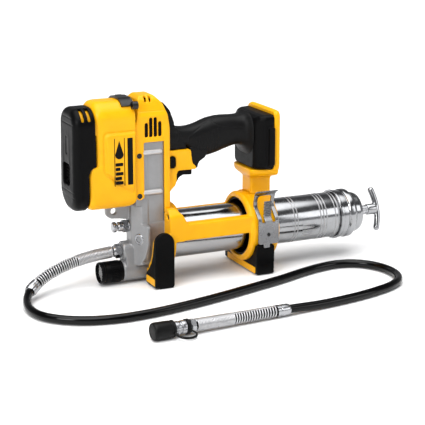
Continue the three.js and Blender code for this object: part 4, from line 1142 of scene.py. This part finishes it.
def make_lamp():
    centre = (0, 15)
    case = lathe([(-174, 11.1, 0.3), (-174, 12.4, 0.7), (-172.6, 12.9, 0.4), (-169.6, 12.9, 0.2),
        (-169.2, 12.3, 0.2), (-168.2, 12.3, 0.2), (-167.8, 12.9, 0.2), (-149, 12.9, 0.4), (-148.4, 12.3),
        (-146.3, 12.3), (-146.3, 0), (-160, 0), (-160, 11)], centre, 80)
    studs = [bar("X", (-162, -149.5), 0.55, (13.0 * math.cos(a) * 0.985, 15 + 13.0 * math.sin(a) * 0.985), 12)
        for a in [2 * math.pi * k / 36 for k in range(36)]]
    machined("lamp_barrel", cut(case, *studs), BLACK, ["lamp_housing"], bevel=0)
    lens = lathe([(-172, 0), (-172, 9.6, 0.6), (-171.4, 10.7, 0.3), (-169.6, 10.7), (-169.6, 0)], centre, 64)
    machined("lamp_window", lens, LENS, ["lamp_lens"], bevel=0)
    # The lamp's board is a real part; its near-black colour is painted shade for the dark inside of the lamp
    # behind the lens.
    plate = bar("X", (-164.2, -163.4), 10.6, centre, 64)
    cup = turned([(-169.2, 9.6), (-169.2, 10.4), (-164.4, 10.4), (-164.4, 3.6), (-165.0, 3.6)], centre, 64)
    machined("lamp_plate", plate, RECESS_SHADE, ["lamp_board"], bevel=0)
    machined("lamp_cup", cup, BLACK, (), bevel=0)
    leds = [slab((y - 0.9, y + 0.9), (z - 0.9, z + 0.9), 0.3, "X", (-165.6, -164.3), steps=3) for y,
        z in ((0, 15), (-4, 19), (4, 11), (-4, 11), (4, 19))]
    machined("lamp_leds", gather(*leds), BOARD, (), bevel=0.1)


make_casting()
make_fittings()
make_lamp()

# ---------------------------------------------------------------- barrel, follower and pull handle


def make_barrel():
    tube = lathe([(-95.5, 27.3), (-95.5, BARREL_R, 0.3), (150, BARREL_R, 0.3), (150, 27.3)], AXIS, 160)
    machined("barrel_shell", tube, CHROME, ["barrel_tube"], "barrel", bevel=0)
    bands = [turned([(x, 28.45), (x, 28.57), (x + w, 28.57), (x + w, 28.45)], AXIS, 160) for x,
        w in ((72.2, 1.5), (76.4, 1.5), (108.6, 1.5), (112.8, 1.5), (117.0, 1.5), (129.6, 1.5), (133.8, 1.5))]
    machined("barrel_bands", gather(*bands), MARK, (), "barrel", bevel=0)
    marks = []
    for i, (low, high) in enumerate(((84, 104), (84, 98), (84, 104), (84, 94), (84, 101))):
        angle = math.radians(214 - i * 8.0)
        y, z = BARREL_R * math.cos(angle), BARREL_Z + BARREL_R * math.sin(angle)
        strip = box((low, high), (-0.08, 0.08), (-0.8, 0.8))
        turn = Matrix.Translation((0, y, z)) @ Matrix.Rotation(angle, 4, "X")
        marks.append(moved(strip, turn))
    machined("barrel_marks", gather(*marks), MARK, (), "barrel", bevel=0)
    cap = lathe([(137.6, 28.9), (137.6, 31, 0.5), (140.4, 31, 0.4), (141, 30, 0.2), (149, 29.8, 0.6),
        (150, 28.8, 0.5), (151.6, 30.6, 2.5), (158.6, 30.6, 3), (160.6, 27.6, 1), (162.6, 25.8, 0.8),
        (168, 25.4, 2.0), (172, 23.8, 2.5), (174.4, 20.6, 2), (175.6, 15, 1.5), (175.6, 6.1, 0.3),
        (150.4, 6.1), (150.4, 28.9)], AXIS, 144, steps=5)
    rings = [turned([(x, 29.85), (x, 31), (x + 0.5, 31), (x + 0.5, 29.85)], AXIS, 144)
        for x in (142.4, 147.4)]
    machined("end_cap_shell", cut(cap, *rings), CHROME, ["barrel_end_cap"], "barrel", bevel=0)


def make_bushing():
    ring = lathe([(8.2, 33.6), (8.2, 35.7, 0.4), (44.6, 35.7, 0.4), (44.6, 29.2, 0.4), (24, 29.2)], AXIS, 96)
    machined("bushing_ring", ring, BLACK, ["barrel_bushing"], bevel=0)


def make_follower():
    coils = 17
    steps = 22
    points = [(-65.4 + 212.8 * k / (coils * steps), 20 * math.cos(2 * math.pi * k / steps),
        BARREL_Z + 20 * math.sin(2 * math.pi * k / steps)) for k in range(coils * steps + 1)]
    spring = finish_piece("grease_spring", wire(points, 1.2, 8), PLATED, "barrel", ["follower_spring"],
        0)
    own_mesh(spring)


def make_handle():
    rod = lathe([(-84, 0), (-84, 5.2, 0.4), (-83, 5.8, 0.4), (196, 5.8, 0.4), (197, 5.2), (197, 0)], AXIS, 48)
    notches = [turned([(x, 5.3), (x, 7), (x + 1.2, 7), (x + 1.2, 5.3)], AXIS, 48) for x in (186.4, -74)]
    machined("rod_bar", cut(rod, *notches), PLATED, ["follower_rod"], "pull_rod", bevel=0)
    steps = 28
    bow = []
    for k in range(steps + 1):
        t = k / steps
        y = (1 - t) ** 2 * -24 + 2 * t * (1 - t) * 0 + t * t * 24
        x = (1 - t) ** 2 * 201.5 + 2 * t * (1 - t) * 209.9 + t * t * 201.5
        bow.append((x, y, 0))
    turn = Matrix.Translation((0, 0, BARREL_Z)) @ Matrix.Rotation(math.radians(-20), 4,
        "X") @ Matrix.Rotation(math.radians(90), 4, "X")
    tips = []
    for y in (-24, 24):
        loops = []
        for k in range(1, 12):
            angle = math.pi * k / 12
            centre = y + 4.1 * math.cos(angle)
            loops.append([(201.5 + 4.1 * math.sin(angle) * math.cos(2 * math.pi * i / 24), centre,
                4.1 * math.sin(angle) * math.sin(2 * math.pi * i / 24)) for i in range(24)])
        tips.append(loft(loops))
    parts = [moved(m, turn) for m in (wire(bow, 4, 20), *tips)]
    hub = lathe([(190, 0), (190, 6.3, 0.5), (191.2, 7.0, 0.4), (202, 7.0, 0.6), (204, 5.2), (204, 0)], AXIS,
        48)
    handle = cut(join(*parts, hub), bar("X", (189, 197.2), 5.7, AXIS, 48))
    moulded("handle_bar", handle, CHROME, ["pull_handle"], "pull_rod", voxel=0.45, passes=4,
        keep=0.4)


make_barrel()
make_bushing()
make_follower()
make_handle()

# ---------------------------------------------------------------- strap bracket and hose clip


def make_bracket():
    outer, inner = [], []
    for k in range(33):
        angle = math.radians(138 - 96 * k / 32)
        centre = -6 if math.cos(angle) < 0 else 6
        outer.append((centre + 22.6 * math.cos(angle), 202.2 + 22.6 * math.sin(angle)))
        inner.append((centre + 20.5 * math.cos(angle), 202.2 + 20.5 * math.sin(angle)))
    band = prism([*outer, *reversed(inner)], "X", (-150.4, -135.2))
    rolls = [bar("X", (-139.2, -132.4), 4.6, (s * 25.6, 217.4), 48) for s in (-1, 1)]
    eyes = [bar("X", (-160, -120), 2.5, (s * 25.6, 217.4), 40) for s in (-1, 1)]
    room = extruded([(-26.8, 150), (26.8, 150), (26.8, 222.3, 20.3), (-26.8, 222.3, 20.3)], "X",
        (-160, -134.6), steps=12)
    machined("bracket_band", cut(join(band, *rolls), room, *eyes), GUNMETAL, ["strap_bracket"],
        bevel=0.4, angle=40)


# The outline of a bent sheet, from the line along its middle.
def ribbon(points, thickness):
    left, right = [], []
    for i, point in enumerate(points):
        here = Vector(point)
        before = (here - Vector(points[i - 1])).normalized() if i else None
        after = (Vector(points[i + 1]) - here).normalized() if i + 1 < len(points) else None
        along = ((before or after) + (after or before)).normalized()
        across = Vector((-along.y, along.x)) * thickness / 2 / max(0.5, along.dot(before or after))
        left.append(tuple(here + across))
        right.append(tuple(here - across))
    return left + right[::-1]


def make_clip():
    sheet = ribbon([(-43.7, 38), (-43.7, 66.8), (-42.8, 69.4), (-31.4, 80.8), (-29.8, 84), (-29.9, 88.6),
        (-33.2, 97.6), (-36.2, 100.8), (-40.8, 102.6)], 1.8)
    board = prism(sheet, "X", (14.5, 42))
    face = rounded([(14.5, 38, 3), (21.5, 38), (21.5, 33.4, 1.5), (30, 33.4, 1.5), (30, 38), (42, 38, 3),
        (42, 112, 5), (14.5, 112, 5)])
    window = extruded([(19.4, 65, 1), (37.1, 65, 1), (37.1, 96, 4), (19.4, 96, 4)], "Y", (-60, -20))
    hole = bar("Y", (-50, -40), 2.2, (28.3, 50), 32)
    tab = box((21.5, 30), (-44.6, -42.8), (33.4, 39))
    clip = common(cut(join(board, tab), window, hole), prism(face, "Y", (-50, -20)))
    moulded("clip_plate", clip, SATIN, ["hose_clip"], voxel=0.36, passes=1, keep=0.4)
    outer = [(-44.8, 61), (-44.8, 66.6), (-40.9, 70.8)]
    inner = [(-43.2, 61), (-43.2, 66.0), (-39.2, 70.0)]
    for k in range(5):
        z, y = 72 + 4.1 * k, -40.4 - 0.35 * k
        outer += [(y - 0.9, z), (y + 0.5, z + 2.1)]
        inner += [(y + 0.9, z), (y + 2.1, z + 2.1)]
    leaf = prism([*outer, *reversed(inner)], "X", (23.4, 33.1))
    moulded("clip_leaf", leaf, SATIN, (), voxel=0.3, passes=1, keep=0.4)
    rivet = turned([(-45.6, 0), (-45.4, 1.2), (-44.4, 2.0), (-42.9, 2.0), (-42.9, 0)], (0, 0), 32)
    spot = Matrix.Translation((28.3, 0, 50)) @ Matrix.Rotation(math.radians(90), 4, "Z")
    machined("clip_rivet", moved(rivet, spot), GUNMETAL, (), bevel=0)


make_bracket()
make_clip()

# ---------------------------------------------------------------- inner works, kept from the frame

for material, slot, nodes in (
        (COPPER, "copper", ["armature"]), (CHROME, "chrome", ["check_ball", "plunger"]),
        (BLACK, "black_plastic", ["cooling_fan", "switch_body"]), (CAP, "rubber", ["follower_seal"]),
        (PLATED, "steel", ["check_spring", "crank_gear", "drive_yoke", "follower_disc", "gearcase_plate",
                           "intermediate_gear", "motor_bearing_front", "motor_bearing_rear", "motor_can",
                           "motor_pinion"])):
    for node in nodes:
        dress(node, material)

# ---------------------------------------------------------------- floor and light


def make_floor():
    mesh = bpy.data.meshes.new("floor")
    mesh.from_pydata([(-9, -9, 0), (9, -9, 0), (9, 9, 0), (-9, 9, 0)], [], [(0, 1, 2, 3)])
    material, _, shader = new_material("pale_floor")
    shader.inputs["Base Color"].default_value = (0.86, 0.86, 0.86, 1)
    shader.inputs["Roughness"].default_value = 0.75
    mesh.materials.append(material)
    floor = add_object("floor", mesh)
    floor.location.z = -0.0004


# A soft white surround that is dimmer low down, so that bright metal shows bands.
def make_world():
    world = bpy.data.worlds.new("surround")
    world.use_nodes = True
    scene.world = world
    tree = world.node_tree
    background = tree.nodes["Background"]
    coordinates = add_node(tree, "ShaderNodeTexCoord")
    apart = add_node(tree, "ShaderNodeSeparateXYZ", {"Vector": coordinates.outputs["Generated"]})
    sky = ramp(tree, apart.outputs["Z"], [(0.0, (0.12, 0.12, 0.123)), (0.34, (0.10, 0.10, 0.103)),
        (0.48, (0.03, 0.03, 0.031)), (0.78, (0.035, 0.035, 0.036)), (0.84, (0.9, 0.9, 0.9)),
        (1.0, (1.0, 1.0, 1.0))])
    tree.links.new(sky, background.inputs["Color"])
    background.inputs["Strength"].default_value = 3.2


def make_light(name, place, target, size, power):
    data = bpy.data.lights.new(name, "AREA")
    data.shape = "RECTANGLE"
    data.size, data.size_y = size
    data.energy = power
    set_up(data, place, target)


def make_sun():
    data = bpy.data.lights.new("high_soft", "SUN")
    data.energy = 1.35
    data.angle = math.radians(50)
    set_up(data, (-1, -1.4, 3), (0, 0, 0))


make_floor()
make_world()
make_sun()
make_light("key", (-2.1, -1.3, 1.2), (0, 0, 0.08), (1.1, 0.9), 30)
make_light("fill", (1.6, -1.4, 0.9), (0, 0, 0.08), (1.0, 0.9), 8)
scene.view_settings.view_transform = "Standard"
